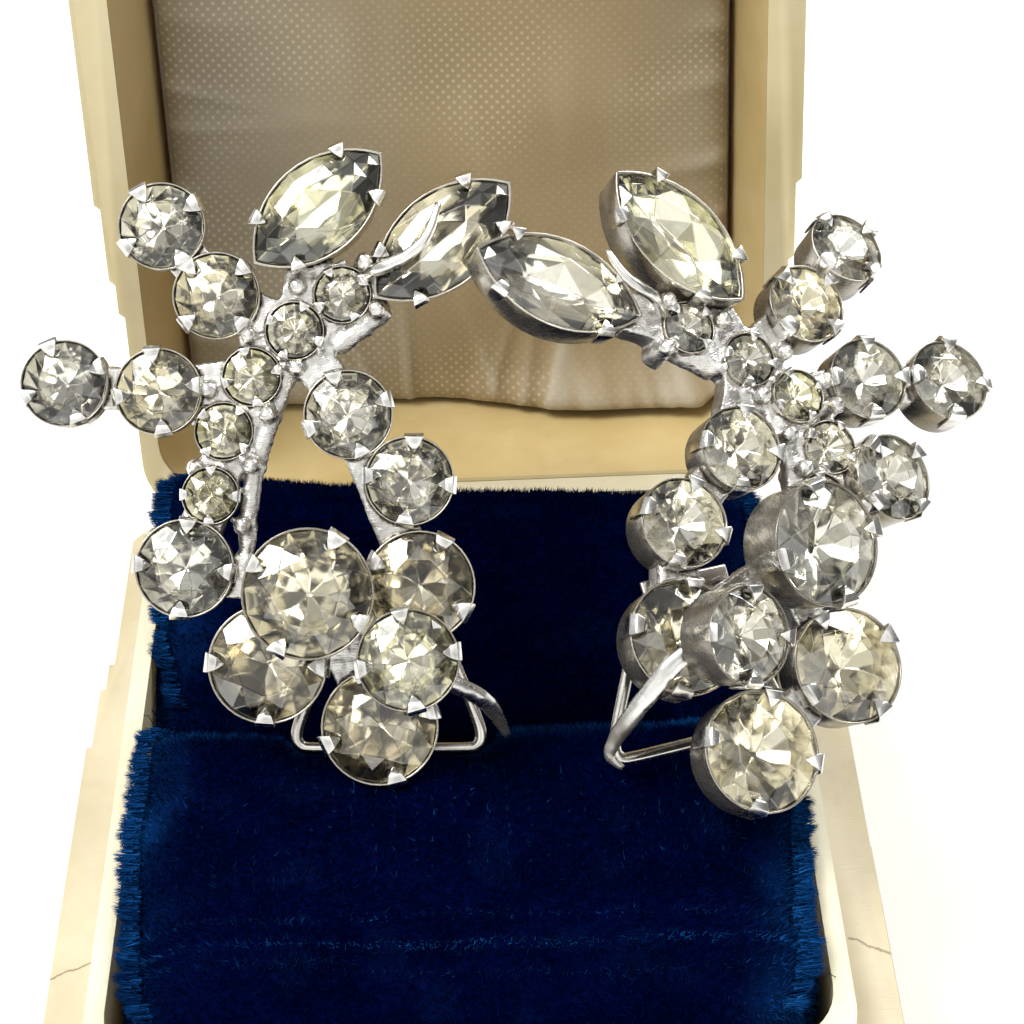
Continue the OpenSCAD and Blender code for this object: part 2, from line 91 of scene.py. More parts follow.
def addSoftbox(name, place, size, power, target):
    data = bpy.data.lights.new(name, "AREA")
    data.shape, data.size, data.energy = "SQUARE", size, power
    obj = bpy.data.objects.new(name, data)
    obj.location = place
    obj.rotation_euler = (Vector(target) - Vector(place)).to_track_quat("-Z", "Y").to_euler()
    bpy.context.collection.objects.link(obj)


# Shader sockets that add up like numbers

class Flow:
    def __init__(self, tree, socket):
        self.tree = tree
        self.socket = socket

    def math(self, operation, *others, swap=False):
        values = [self, *others]
        if swap:
            values.reverse()
        return addNode(self.tree, "Math", {"operation": operation}, dict(enumerate(values)))

    def __add__(self, other):
        return self.math("ADD", other)

    def __sub__(self, other):
        return self.math("SUBTRACT", other)

    def __rsub__(self, other):
        return self.math("SUBTRACT", other, swap=True)

    def __mul__(self, other):
        return self.math("MULTIPLY", other)

    __radd__, __rmul__ = __add__, __mul__

    def between(self, low, high):
        # 0 below the low value, 1 above the high one, with a smooth step in between
        return addNode(self.tree, "MapRange", {"interpolation_type": "SMOOTHSTEP"},
                       {"Value": self, "From Min": low, "From Max": high})

    def axes(self):
        split = addNode(self.tree, "SeparateXYZ", sockets={"Vector": self}).socket.node
        return [Flow(self.tree, socket) for socket in split.outputs]


def plug(tree, slot, value):
    if isinstance(value, Flow):
        tree.links.new(value.socket, slot)
    elif hasattr(value, "__len__") and slot.type == "RGBA" and len(value) == 3:
        slot.default_value = (*value, 1)
    else:
        slot.default_value = value


def addNode(tree, kind, settings=None, sockets=None, out=0):
    node = tree.nodes.new("ShaderNode" + kind)
    for key, value in (settings or {}).items():
        setattr(node, key, value)
    for key, value in (sockets or {}).items():
        plug(tree, node.inputs[key], value)
    return Flow(tree, node.outputs[out])


class Finish:
    def __init__(self, name, **fixed):
        self.material = bpy.data.materials.new(name)
        self.material.use_nodes = True
        self.tree = self.material.node_tree
        self.shader = self.tree.nodes["Principled BSDF"]
        self.set(**fixed)

    def set(self, **values):
        names = {"colour": "Base Color", "coat": "Coat Weight", "coatRoughness": "Coat Roughness", "ior": "IOR",
                 "sheen": "Sheen Weight", "sheenRoughness": "Sheen Roughness", "glass": "Transmission Weight",
                 "soft": "Subsurface Weight", "softScale": "Subsurface Scale", "softRadius": "Subsurface Radius",
                 "specular": "Specular IOR Level", "anisotropy": "Anisotropic"}
        for key, value in values.items():
            plug(self.tree, self.shader.inputs[names.get(key, key.capitalize())], value)

    def place(self, turn=(0, 0, 0), stretch=(1, 1, 1), shift=(0, 0, 0)):
        raw = addNode(self.tree, "TexCoord", out="Object")
        return addNode(self.tree, "Mapping", {"vector_type": "POINT"},
                       {"Vector": raw, "Rotation": turn, "Scale": stretch, "Location": shift})

    def noise(self, where, scale, detail=3, rough=0.55):
        return addNode(self.tree, "TexNoise", sockets={
            "Vector": where, "Scale": scale, "Detail": detail, "Roughness": rough})

    def attribute(self, name):
        return addNode(self.tree, "Attribute", {"attribute_name": name}, out="Fac")

    def mix(self, share, a, b):
        return addNode(self.tree, "Mix", {"data_type": "RGBA", "blend_type": "MIX"}, {0: share, 6: a, 7: b}, 2)

    def bump(self, height, distance, strength=1.0):
        return addNode(self.tree, "Bump", sockets={"Height": height, "Distance": distance, "Strength": strength})


def shaded(colour, share):
    return tuple(min(1, share * c) for c in colour)


def studioSky(facts):
    world = bpy.data.worlds.new("studioSky")
    world.use_nodes = True
    bpy.context.scene.world = world
    tree = world.node_tree
    x, y, z = addNode(tree, "TexCoord", out="Generated").axes()
    # A bright screen round the camera with a small dark gap at the lens, a lit ceiling and a window to the left
    ahead = y * -0.79 + z * 0.61 + x * 0.03
    screen = ahead.between(0.68, 0.8) * (1 - ahead.between(0.97, 0.985) * 0.6)
    ceiling = z.between(0.55, 0.8)
    window = (x * -1).between(0.45, 0.7) * z.between(-0.1, 0.2)
    right, below = facts["gloom"]
    gloom = x.between(0.5, 0.85) * right + (0 - z).between(0.1, 0.5) * below
    light = facts["haze"] + screen * facts["screen"] + ceiling * facts["ceiling"] + window * facts["window"] - gloom
    background = tree.nodes["Background"]
    background.inputs["Color"].default_value = (*facts["sky"], 1)
    plug(tree, background.inputs["Strength"], light * facts["skyStrength"])


def layFloor(facts):
    bpy.ops.object.select_all(action="DESELECT")
    bpy.ops.mesh.primitive_plane_add(size=facts["floorSize"], location=(0, 0, -0.00005))
    floor = bpy.context.object
    floor.name = "floor"
    look = Finish("paleFloor", roughness=0.7)
    where = look.place()
    blotch = look.noise(where, 9, 2)
    look.set(colour=look.mix(blotch, facts["floorColour"], shaded(facts["floorColour"], 0.975)))
    floor.data.materials.append(look.material)


addCamera(camera)
studioSky(studio)
layFloor(studio)
for lightName, (lightPlace, lightSize, lightPower) in studio["softboxes"].items():
    addSoftbox(lightName, lightPlace, lightSize, lightPower, studio["aim"])
bpy.context.scene.view_settings.view_transform = "Standard"
print("studio ready")


# Modelling helpers

def deselectAll():
    if bpy.context.mode != "OBJECT":
        bpy.ops.object.mode_set(mode="OBJECT")
    bpy.ops.object.select_all(action="DESELECT")


def activate(*objs):
    deselectAll()
    for obj in objs:
        obj.select_set(True)
    bpy.context.view_layer.objects.active = objs[0]


def startEdit(obj, kind="FACE"):
    activate(obj)
    bpy.ops.object.mode_set(mode="EDIT")
    bpy.ops.mesh.select_mode(type=kind)
    bpy.ops.mesh.select_all(action="DESELECT")


def pickFaces(obj, test):
    mesh = bmesh.from_edit_mesh(obj.data)
    mesh.normal_update()
    for face in mesh.faces:
        face.select_set(bool(test(face.calc_center_median(), face.normal)))
    bmesh.update_edit_mesh(obj.data)


def pickEdges(obj, test):
    mesh = bmesh.from_edit_mesh(obj.data)
    for edge in mesh.edges:
        edge.select_set(bool(test(edge.verts[0].co, edge.verts[1].co)))
    bmesh.update_edit_mesh(obj.data)


def pickVerts(obj, test):
    mesh = bmesh.from_edit_mesh(obj.data)
    for vert in mesh.verts:
        vert.select_set(bool(test(vert.co)))
    mesh.select_flush_mode()
    bmesh.update_edit_mesh(obj.data)


def extrude(move, size=None, centre=(0, 0, 0)):
    bpy.ops.mesh.extrude_region_move(TRANSFORM_OT_translate={"value": move})
    if size:
        bpy.ops.transform.resize(value=size, center_override=centre)


def endEdit():
    bpy.ops.object.mode_set(mode="OBJECT")


def applyModifier(obj, kind, **settings):
    activate(obj)
    modifier = obj.modifiers.new(kind.lower(), kind)
    for key, value in settings.items():
        setattr(modifier, key, value)
    bpy.ops.object.modifier_apply(modifier=modifier.name)


def bevelSharp(obj, width, segments=2, angle=35):
    applyModifier(obj, "BEVEL", width=width, segments=segments, limit_method="ANGLE",
                  angle_limit=math.radians(angle), use_clamp_overlap=True)


def smoothByAngle(obj, angle=35):
    activate(obj)
    bpy.ops.object.shade_smooth_by_angle(angle=math.radians(angle))


def bake(obj):
    obj.data.transform(obj.matrix_world)
    obj.matrix_world = identity
    return obj


def copyOf(obj, place=identity):
    twin = obj.copy()
    twin.data = obj.data.copy()
    twin.data.transform(place)
    twin.matrix_world = identity
    bpy.context.collection.objects.link(twin)
    return twin


def join(objs, name):
    activate(*objs)
    bpy.ops.object.join()
    merged = bpy.context.object
    merged.name = name
    return bake(merged)


def pickAll():
    bpy.ops.mesh.select_all(action="SELECT")


def mendNormals(obj, gap=0.0005):
    startEdit(obj)
    pickAll()
    bpy.ops.mesh.remove_doubles(threshold=gap)
    bpy.ops.mesh.normals_make_consistent(inside=False)
    endEdit()


def smoothAll(obj):
    for face in obj.data.polygons:
        face.use_smooth = True


def primitive(kind, **facts):
    deselectAll()
    getattr(bpy.ops.mesh, f"primitive_{kind}_add")(**facts)
    return bake(bpy.context.object)


def cuboid(size, centre, turn=identity):
    obj = primitive("cube", size=1)
    obj.data.transform(Matrix.Translation(centre) @ turn @ Matrix.Diagonal((*size, 1)))
    return obj


def vertices(obj):
    points = np.empty(len(obj.data.vertices) * 3)
    obj.data.vertices.foreach_get("co", points)
    return points.reshape(-1, 3)


def setVertices(obj, points):
    obj.data.vertices.foreach_set("co", np.asarray(points, dtype=float).ravel())
    obj.data.update()


def pointNormals(obj):
    values = np.empty(len(obj.data.vertices) * 3)
    obj.data.vertices.foreach_get("normal", values)
    return values.reshape(-1, 3)


def ripple(points, scale, seed=0.0):
    shift = Vector((seed, seed * 1.7, seed * 0.3))
    return np.array([noise.noise(Vector(p) * scale + shift) for p in points])


def smoothStep(share):
    return share * share * (3 - 2 * share)


def storeValue(obj, name, values):
    layer = obj.data.attributes.new(name, "FLOAT", "POINT")
    layer.data.foreach_set("value", np.asarray(values, dtype=np.float32))


def paint(obj, *finishes):
    obj.data.materials.clear()
    for finish in finishes:
        obj.data.materials.append(finish)


def useSecond(obj, test):
    # The second finish, on the faces whose centres pass the test
    for face in obj.data.polygons:
        face.material_index = 1 if test(face.center) else 0


def settle(obj, name, place, body, replaced=()):
    obj.data.transform(toMetres @ place)
    obj.matrix_world = identity
    obj.name = name
    obj.data.name = name
    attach(obj, body)
    if replaced:
        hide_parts(*replaced)
    return obj


def drop(*objs):
    for obj in objs:
        bpy.data.objects.remove(obj, do_unlink=True)


# Where the two earrings lie: their own frames have x to the right, y to the top and z out of the face.

def turned(x, y, z):
    return (Matrix.Rotation(math.radians(z), 4, "Z") @ Matrix.Rotation(math.radians(y), 4, "Y")
            @ Matrix.Rotation(math.radians(x), 4, "X"))


leftFrame = Matrix.Translation((-10.4, 5.55, 41.5)) @ turned(52, 0, 0) @ turned(0, 0, -2.2)
rightFrame = Matrix.Translation((19.2, 3.25, 40.2)) @ turned(41.8, 7.1, 23.6)
lidFrame = Matrix.Translation((0, 28.25, 19)) @ turned(-8, 0, 0)


# Finishes

# Hairline cracks across the base's ledge: start and end in x and y, in metres
sideCracks = [((-0.0224, -0.0147), (-0.0256, -0.0163)), ((0.0226, -0.0152), (0.0256, -0.0168))]


def crackMask(look, start, end):
    x, y, z = look.place().axes()
    run = Vector(end) - Vector(start)
    length, (ux, uy) = run.length, run.normalized()
    wander = (look.noise(look.place(), 900, 3, 0.6) - 0.5) * 0.0007
    across = (x - start[0]) * -uy + (y - start[1]) * ux + wander
    along = (x - start[0]) * ux + (y - start[1]) * uy
    width = (0 - across.math("ABSOLUTE")).between(-0.00013, -0.00003)
    reach = along.between(-0.0001, 0.0001) * (length - along).between(-0.0001, 0.0001)
    return width * reach * z.between(0.016, 0.0175)


def celluloid(name, colour, deep, cracks=()):
    look = Finish(name, roughness=0.32, coat=0.35, coatRoughness=0.22, ior=1.5,
                  soft=0.12, softScale=0.004, softRadius=(1.0, 0.7, 0.35))
    where = look.place()
    cloud = look.noise(where, 60, 4, 0.6)
    streak = look.noise(look.place(stretch=(1, 1, 0.12)), 700, 3, 0.6)
    speck = look.noise(where, 2600, 2, 0.7)
    # Darker patches of grime
    darkening = look.noise(look.place(shift=(3, 1, 2)), 190, 5, 0.65).between(0.56, 0.78)
    tone = look.mix(cloud.between(0.35, 0.68), colour, deep)
    tone = look.mix(streak.between(0.55, 0.8) * 0.22, tone, shaded(colour, 1.12))
    tone = look.mix(darkening * 0.3, tone, shaded(deep, 0.72))
    tone = look.mix(speck.between(0.72, 0.8) * 0.4, tone, (0.32, 0.24, 0.13))
    for start, end in cracks:
        tone = look.mix(crackMask(look, start, end) * 0.75, tone, (0.2, 0.13, 0.06))
    scratch = look.noise(look.place(turn=(0.3, 0.2, 0.7), stretch=(1, 14, 1)), 420, 2, 0.5)
    look.set(colour=tone, roughness=0.26 + cloud * 0.14 + scratch.between(0.6, 0.75) * 0.12)
    height = cloud * 0.4 + scratch.between(0.58, 0.7) * 0.12 + speck * 0.06
    look.set(normal=look.bump(height, 0.00012, 0.5))
    return look.material


def satin():
    look = Finish("champagneSatin", roughness=0.42, sheen=0.25, sheenRoughness=0.3, anisotropy=0.5)
    across, up = look.attribute("acrossCloth"), look.attribute("upCloth")
    # Staggered binding points of the weave, and the fine threads between them
    pitch = 2 * math.pi / 0.76
    dot = (across * pitch).math("SINE") * (up * pitch).math("SINE")
    dot = dot.between(0.25, 0.95)
    thread = (up * (2 * math.pi / 0.14)).math("SINE") * 0.5 + 0.5
    weft = (across * (2 * math.pi / 0.16)).math("SINE") * 0.5 + 0.5
    where = look.place()
    cloud = look.noise(where, 55, 3, 0.5)
    sheenBand = look.noise(look.place(stretch=(1, 1, 0.25)), 110, 3, 0.6)
    tone = look.mix(cloud.between(0.32, 0.7), (0.33, 0.28, 0.19), (0.26, 0.22, 0.15))
    # Warmer across the middle; the greyer tone left at the sides is painted sheen
    sideways = where.axes()[0]
    warmAwayFromSheen = sideways.between(-0.014, 0.002) * (1 - sideways.between(0.01, 0.02) * 0.6)
    tone = look.mix(warmAwayFromSheen * 0.75, tone, (0.35, 0.25, 0.115))
    # Lighter streaks of painted sheen
    tone = look.mix(sheenBand.between(0.5, 0.8) * 0.35, tone, (0.5, 0.45, 0.34))
    # Painted light on the gathers: lighter on the raised folds, and painted shade in the hollows between them
    foldShading = look.attribute("foldShading")
    tone = look.mix(foldShading.between(0.5, 1.0) * 0.55, tone, (0.55, 0.5, 0.4))
    tone = look.mix((1 - foldShading).between(0.5, 0.9) * 0.5, tone, (0.2, 0.15, 0.085))
    patch = look.noise(look.place(shift=(1, 2, 4)), 70, 2, 0.5).between(0.42, 0.62)
    tone = look.mix(dot * (0.1 + patch * 0.4), tone, (0.62, 0.55, 0.41))
    tone = look.mix((1 - thread) * 0.12, tone, (0.2, 0.16, 0.1))
    look.set(colour=tone, roughness=0.36 + thread * 0.1 + cloud * 0.1)
    look.set(normal=look.bump(thread * 0.5 + weft * 0.25 + dot * 0.8, 0.00002, 0.6))
    return look.material


def velvet():
    look = Finish("navyVelvet", roughness=1.0, specular=0.0)
    where = look.place()
    nap = look.noise(where, 240, 4, 0.6)
    fine = look.noise(where, 2200, 3, 0.7)
    rub = look.attribute("rub")
    tone = look.mix(nap.between(0.35, 0.7), (0.0002, 0.0006, 0.011), (0.0004, 0.0014, 0.02))
    tone = look.mix(fine.between(0.45, 0.75) * 0.6, tone, (0.0006, 0.0035, 0.034))
    # Lighter blue where the pile is worn, and painted sheen along the pads' side edges and the front pad's crest
    tone = look.mix(rub * 0.8, tone, (0.003, 0.025, 0.11))
    look.set(colour=tone, normal=look.bump(nap, 0.00045, 0.8))
    return look.material


def pileFinish():
    look = Finish("velvetPile", roughness=1.0, specular=0.0)
    shade, rub = look.attribute("shade"), look.attribute("rub")
    tone = look.mix(shade, (0.0001, 0.0006, 0.01), (0.001, 0.0055, 0.045))
    # Lighter blue where the pile is worn, and painted sheen along the pads' side edges and the front pad's crest
    tone = look.mix(rub * (0.2 + shade * 0.8), tone, (0.008, 0.085, 0.29))
    look.set(colour=tone)
    return look.material


def rhodium(name, tone, roughness, lumps=0.00003):
    look = Finish(name, metallic=1.0, roughness=roughness)
    where = look.place()
    cloud = look.noise(where, 420, 4, 0.6)
    fine = look.noise(where, 3200, 3, 0.6)
    scratch = look.noise(look.place(turn=(0.4, 0.9, 0.2), stretch=(1, 1, 12)), 1500, 2, 0.5)
    darkening = look.attribute("darkening")
    shade = look.mix(cloud.between(0.38, 0.68), tone, shaded(tone, 0.7))
    # Darker where the darkening attribute is high: tarnish, and painted shade towards the back of the piece, under
    # the stones and in the hollows of the web
    shade = look.mix(darkening * (0.45 + cloud * 0.55), shade, (0.075, 0.06, 0.04))
    shade = look.mix(fine.between(0.62, 0.75) * 0.35, shade, (0.2, 0.185, 0.16))
    look.set(colour=shade, roughness=roughness + cloud * 0.12 + darkening * 0.1 + scratch.between(0.55, 0.7) * 0.1)
    look.set(metallic=1 - darkening * 0.25)
    look.set(normal=look.bump(cloud + fine * 0.4 + scratch * 0.3, lumps, 0.7))
    return look.material


def steelFinish():
    look = Finish("pinSteel", metallic=1.0)
    cloud = look.noise(look.place(), 600, 3)
    look.set(colour=look.mix(cloud, (0.5, 0.48, 0.45), (0.34, 0.32, 0.3)), roughness=0.3 + cloud * 0.2,
             normal=look.bump(cloud, 0.00002, 0.5))
    return look.material


# Each kind of stone: colour of its glass, the foil's lightest and darkest facets, and the foil's roughness
stoneKinds = {
    "clear": ((1.0, 0.995, 0.965), (0.96, 0.94, 0.85), (0.6, 0.575, 0.46), 0.06),
    "champagne": ((0.99, 0.98, 0.93), (0.95, 0.91, 0.77), (0.62, 0.575, 0.43), 0.07),
    "straw": ((1.0, 0.995, 0.93), (0.98, 0.96, 0.82), (0.6, 0.57, 0.39), 0.07),
    "smoky": ((0.985, 0.97, 0.915), (0.92, 0.865, 0.7), (0.6, 0.54, 0.39), 0.09),
    "grey": ((0.985, 0.985, 0.96), (0.8, 0.78, 0.7), (0.4, 0.385, 0.32), 0.06),
}


def stoneFinishes():
    made = {}
    for kind, (glassTint, foilLight, foilDark, blur) in stoneKinds.items():
        glass = Finish("glass_" + kind, colour=glassTint, glass=1.0, ior=1.42)
        where = glass.place()
        scuff = glass.noise(where, 900, 1, 0.6)
        glass.set(roughness=0.008 + scuff.between(0.66, 0.8) * 0.06, metallic=glass.attribute("facet") * 0.16)
        foil = Finish("foil_" + kind, metallic=1.0)
        where = foil.place()
        cloud = foil.noise(where, 500, 3, 0.6)
        spot = foil.noise(where, 2400, 3, 0.6)
        facet = foil.attribute("facet")
        tone = foil.mix((facet + cloud.between(0.3, 0.7) * 0.3 - 0.15).between(0.1, 0.8), foilDark, foilLight)
        tone = foil.mix(spot.between(0.64, 0.74) * 0.4, tone, shaded(foilDark, 0.6))
        foil.set(colour=tone, roughness=blur + cloud * 0.05, normal=foil.bump(cloud, 0.000006, 0.3))
        made[kind] = (glass.material, foil.material)
    return made


ivory = celluloid("ivoryCelluloid", (0.8, 0.74, 0.55), (0.71, 0.63, 0.43))
ivoryBody = celluloid("bodyCelluloid", (0.68, 0.6, 0.42), (0.56, 0.48, 0.31), sideCracks)
ivoryLid = celluloid("lidCelluloid", (0.5, 0.425, 0.25), (0.42, 0.345, 0.18))
# The lid's inner walls: aged celluloid, drawn yellower as painted shade of the hollow
ivoryInsideAgedAndShaded = celluloid("agedAndShadedInside", (0.68, 0.54, 0.27), (0.56, 0.42, 0.18))
satinCloth = satin()
velvetCloth = velvet()
velvetPile = pileFinish()
cupMetal = rhodium("rhodiumCups", (0.58, 0.545, 0.48), 0.12)
clawMetal = rhodium("rhodiumClaws", (0.8, 0.785, 0.75), 0.14, 0.000012)
solderMetal = rhodium("solderedWeb", (0.84, 0.825, 0.79), 0.17, 0.00011)
clipMetal = rhodium("clipWire", (0.74, 0.715, 0.67), 0.13, 0.000003)
pinMetal = steelFinish()
stoneLooks = stoneFinishes()
print("finishes ready")


# Box base

base = {
    "foot": (26.2, 31.45, 7.0),  # half width, half depth, height of its straight part
    "waist": (25.4, 30.65, 8.2),
    "shoulder": (23.9, 29.15, 19.0),
    "lip": (22.0, 27.25, 22.0),
    "inside": (20.8, 25.45, 2.0),  # half width, half depth, height of the floor
    "frontRadius": 5.0,
    "rearRadius": 8.0,
    "edge": 0.35,
    "hingeAxis": (28.25, 19.0),  # y and z
    "knuckle": (1.5, 6.0, 12.1),  # radius, length, distance from the middle
    "lidKnuckle": 11.2,
    "pinRadius": 0.6,
    "pinPlay": 0.06,
    "knucklePlay": 0.6,  # room at the ends of the knuckles
    "knuckleRoom": 0.5,  # room round the lid's knuckle
    "reach": 5.0,  # of what is cut away behind the hinge line
    "sideEase": 1.15,  # the sides draw in a little faster near the shoulder
    "draft": (0.05, 0.3),  # how much the lip and the inside narrow upwards and downwards
    "chamfer": 0.02,
    "rearStep": 0.75,  # how far the rear edge drops behind the hinge line
    "sideStep": 0.35,  # the sides step out by this much, three times, towards the front
    "stepAt": (16.1, 18.6, 24.3),  # distances from the hinge axis
}


def roundedPlan(halfWidth, halfDepth, frontRadius, rearRadius, segments=9):
    obj = primitive("plane", size=2)
    startEdit(obj, "VERT")
    pickAll()
    bpy.ops.transform.resize(value=(halfWidth, halfDepth, 1), center_override=(0, 0, 0))
    for side, radius in ((-1, frontRadius), (1, rearRadius)):
        pickVerts(obj, lambda p: p.y * side > 0)
        bpy.ops.mesh.bevel(offset=radius, segments=segments, affect="VERTICES", offset_type="OFFSET")
    bpy.ops.mesh.select_mode(type="FACE")
    pickAll()
    return obj


def barrel(radius, length, x, y, z, sides=40):
    obj = primitive("cylinder", vertices=sides, radius=radius, depth=length)
    obj.data.transform(Matrix.Translation((x, y, z)) @ turned(0, 90, 0))
    return obj


def cutWith(obj, cutter, operation="DIFFERENCE"):
    applyModifier(obj, "BOOLEAN", object=cutter, operation=operation, solver="EXACT")
    drop(cutter)


def besideBase(side, wider, front, facts):
    # What lies beside the base behind one of its steps, from the foot up to the shoulder
    footW, _, footH = facts["foot"]
    waistW, _, waistH = facts["waist"]
    topW, _, topZ = facts["shoulder"]
    levels = np.array([(footW, -1.0), (footW, footH), (waistW, waistH),
                       ((waistW + topW) / 2 + 0.1, (waistH + topZ) / 2), (topW, topZ), (topW, topZ + 1)])
    obj = primitive("grid", x_subdivisions=1, y_subdivisions=len(levels) - 1, size=2)
    points = vertices(obj)
    level = np.round((points[:, 1] + 1) / 2 * (len(levels) - 1)).astype(int)
    x = np.where(points[:, 0] < 0, levels[level, 0] + wider, footW + 8)
    setVertices(obj, np.column_stack([side * x, np.full(len(x), front), levels[level, 1]]))
    startEdit(obj)
    pickAll()
    extrude((0, 25, 0))
    endEdit()
    mendNormals(obj)
    return obj


def makeBase(facts):
    wider = 3 * facts["sideStep"]
    footW, footD, footH = facts["foot"]
    footW += wider
    obj = roundedPlan(footW, footD, facts["frontRadius"], facts["rearRadius"])
    width, depth, height = footW, footD, 0.0

    def riseTo(newWidth, newDepth, newHeight):
        nonlocal width, depth, height
        extrude((0, 0, newHeight - height), (newWidth / width, newDepth / depth, 1))
        width, depth, height = newWidth, newDepth, newHeight

    waistW, waistD, waistZ = facts["waist"]
    topW, topD, topZ = facts["shoulder"]
    waistW, topW = waistW + wider, topW + wider
    riseTo(footW, footD, footH)
    riseTo(waistW, waistD, waistZ)
    for share in (0.25, 0.5, 0.75, 1.0):
        ease = share ** facts["sideEase"]
        riseTo(waistW + (topW - waistW) * ease, waistD + (topD - waistD) * ease, waistZ + (topZ - waistZ) * share)
    lipW, lipD, lipZ = facts["lip"]
    inW, inD, inZ = facts["inside"]
    lipDraft, inDraft = facts["draft"]
    riseTo(lipW, lipD, topZ + facts["chamfer"])
    riseTo(lipW - lipDraft, lipD - lipDraft, lipZ)
    riseTo(inW, inD, lipZ - facts["chamfer"])
    riseTo(inW - inDraft, inD - inDraft, inZ)
    endEdit()
    mendNormals(obj)
    axisY, axisZ = facts["hingeAxis"]
    for index, stepAt in enumerate(facts["stepAt"]):
        for side in (-1, 1):
            cutWith(obj, besideBase(side, index * facts["sideStep"], axisY - stepAt, facts))
    radius, length, offset = facts["knuckle"]
    reach = facts["reach"]
    behind = (0, axisY - 0.05 + reach / 2, axisZ - facts["rearStep"] + reach / 2)
    cutWith(obj, cuboid((2 * lipW, reach, reach), behind))
    for side in (-1, 1):
        cutWith(obj, barrel(radius, length, side * offset, axisY, axisZ), "UNION")
    notch = facts["lidKnuckle"] + facts["knucklePlay"]
    cutWith(obj, barrel(radius + facts["knuckleRoom"], notch, 0, axisY, axisZ))
    cutWith(obj, cuboid((notch, 2 * reach, 6), (0, axisY + reach, axisZ + 1)))
    cutWith(obj, barrel(facts["pinRadius"] + facts["pinPlay"], 40, 0, axisY, axisZ))
    bevelSharp(obj, facts["edge"], 3, 40)
    smoothByAngle(obj, 38)
    paint(obj, ivory, ivoryBody)
    useSecond(obj, lambda c: c.z < topZ + 0.1 and (abs(c.x) > lipW - 0.1 or abs(c.y) > lipD - 0.1))
    return settle(obj, "box_shell", identity, "box_and_earrings", ["box_base"])


makeBase(base)
print("box base done")


# Lid: drawn lying on its back, x across, y up along the lid and z towards its mouth

lid = {
    "halfWidth": 24.2,
    "length": 57.5,
    "depth": 15.0,
    "drop": 0.5,  # how far its hinge side lies past the hinge line
    "step": 0.4,
    "stepAt": (16.6, 19.1, 24.8),
    "cornerRadius": 5.0,
    "roomCorner": 4.0,
    "topCorner": 2.0,
    "rim": 2.5,
    "rimBack": 0.15,
    "liningBack": 9.0,
    "draft": 1.6,
    "backWall": 1.8,
    "backShare": (0.955, 0.965),  # how far the flat of its back is drawn in
    "backRounds": ((0.9, 1.028, 1.02), (1.6, 1.0186, 1.0159)),  # each rise, and how much wider and longer it makes it
    "stepRise": 0.35,
    "edge": 0.3,
}
lidStand = Matrix(((1, 0, 0, 0), (0, 0, -1, 0), (0, 1, 0, 0), (0, 0, 0, 1)))


def lidOutline(facts):
    low, top = -facts["drop"], facts["length"] - facts["drop"]
    step, topCorner = facts["step"], facts["topCorner"]
    width, height = facts["halfWidth"] - 3 * step, facts["stepAt"][0] - facts["drop"]
    obj = primitive("plane", size=2)
    startEdit(obj, "VERT")
    pickAll()
    bpy.ops.transform.resize(value=(width, (height - low) / 2, 1), center_override=(0, 0, 0))
    bpy.ops.transform.translate(value=(0, (height + low) / 2, 0))
    pickVerts(obj, lambda p: p.y < low + 0.01)
    bpy.ops.mesh.bevel(offset=facts["cornerRadius"], segments=10, affect="VERTICES")
    bpy.ops.mesh.select_mode(type="EDGE")

    def climb(newWidth, newHeight):
        nonlocal width, height
        pickEdges(obj, lambda a, b: min(a.y, b.y) > height - 0.01)
        extrude((0, newHeight - height, 0), (newWidth / width, 1, 1))
        width, height = newWidth, newHeight

    for end in facts["stepAt"][1:] + (facts["length"] - topCorner,):
        climb(width + step, height + facts["stepRise"])
        climb(width, end - facts["drop"])
    climb(width - topCorner, top)
    bpy.ops.mesh.select_mode(type="FACE")
    pickAll()
    bpy.ops.mesh.dissolve_faces()
    pickAll()
    return obj


def lidRoom(facts, centre):
    # The lid's hollow, drawn in from its rim towards the back
    half, back = facts["halfWidth"] - facts["rim"], facts["depth"] - facts["backWall"]
    obj = roundedPlan(half, (facts["length"] - 2 * facts["rim"]) / 2, facts["roomCorner"], 1.0)
    bpy.ops.transform.translate(value=(0, centre[1] - facts["drop"], 1))
    share = 1 - facts["draft"] * (facts["liningBack"] / back) / half
    extrude((0, 0, -1.6))
    extrude((0, 0, 0.6 - facts["liningBack"]), (share, share, 1), centre)
    extrude((0, 0, facts["liningBack"] - back), (0.985, 0.985, 1), centre)
    endEdit()
    mendNormals(obj)
    return obj


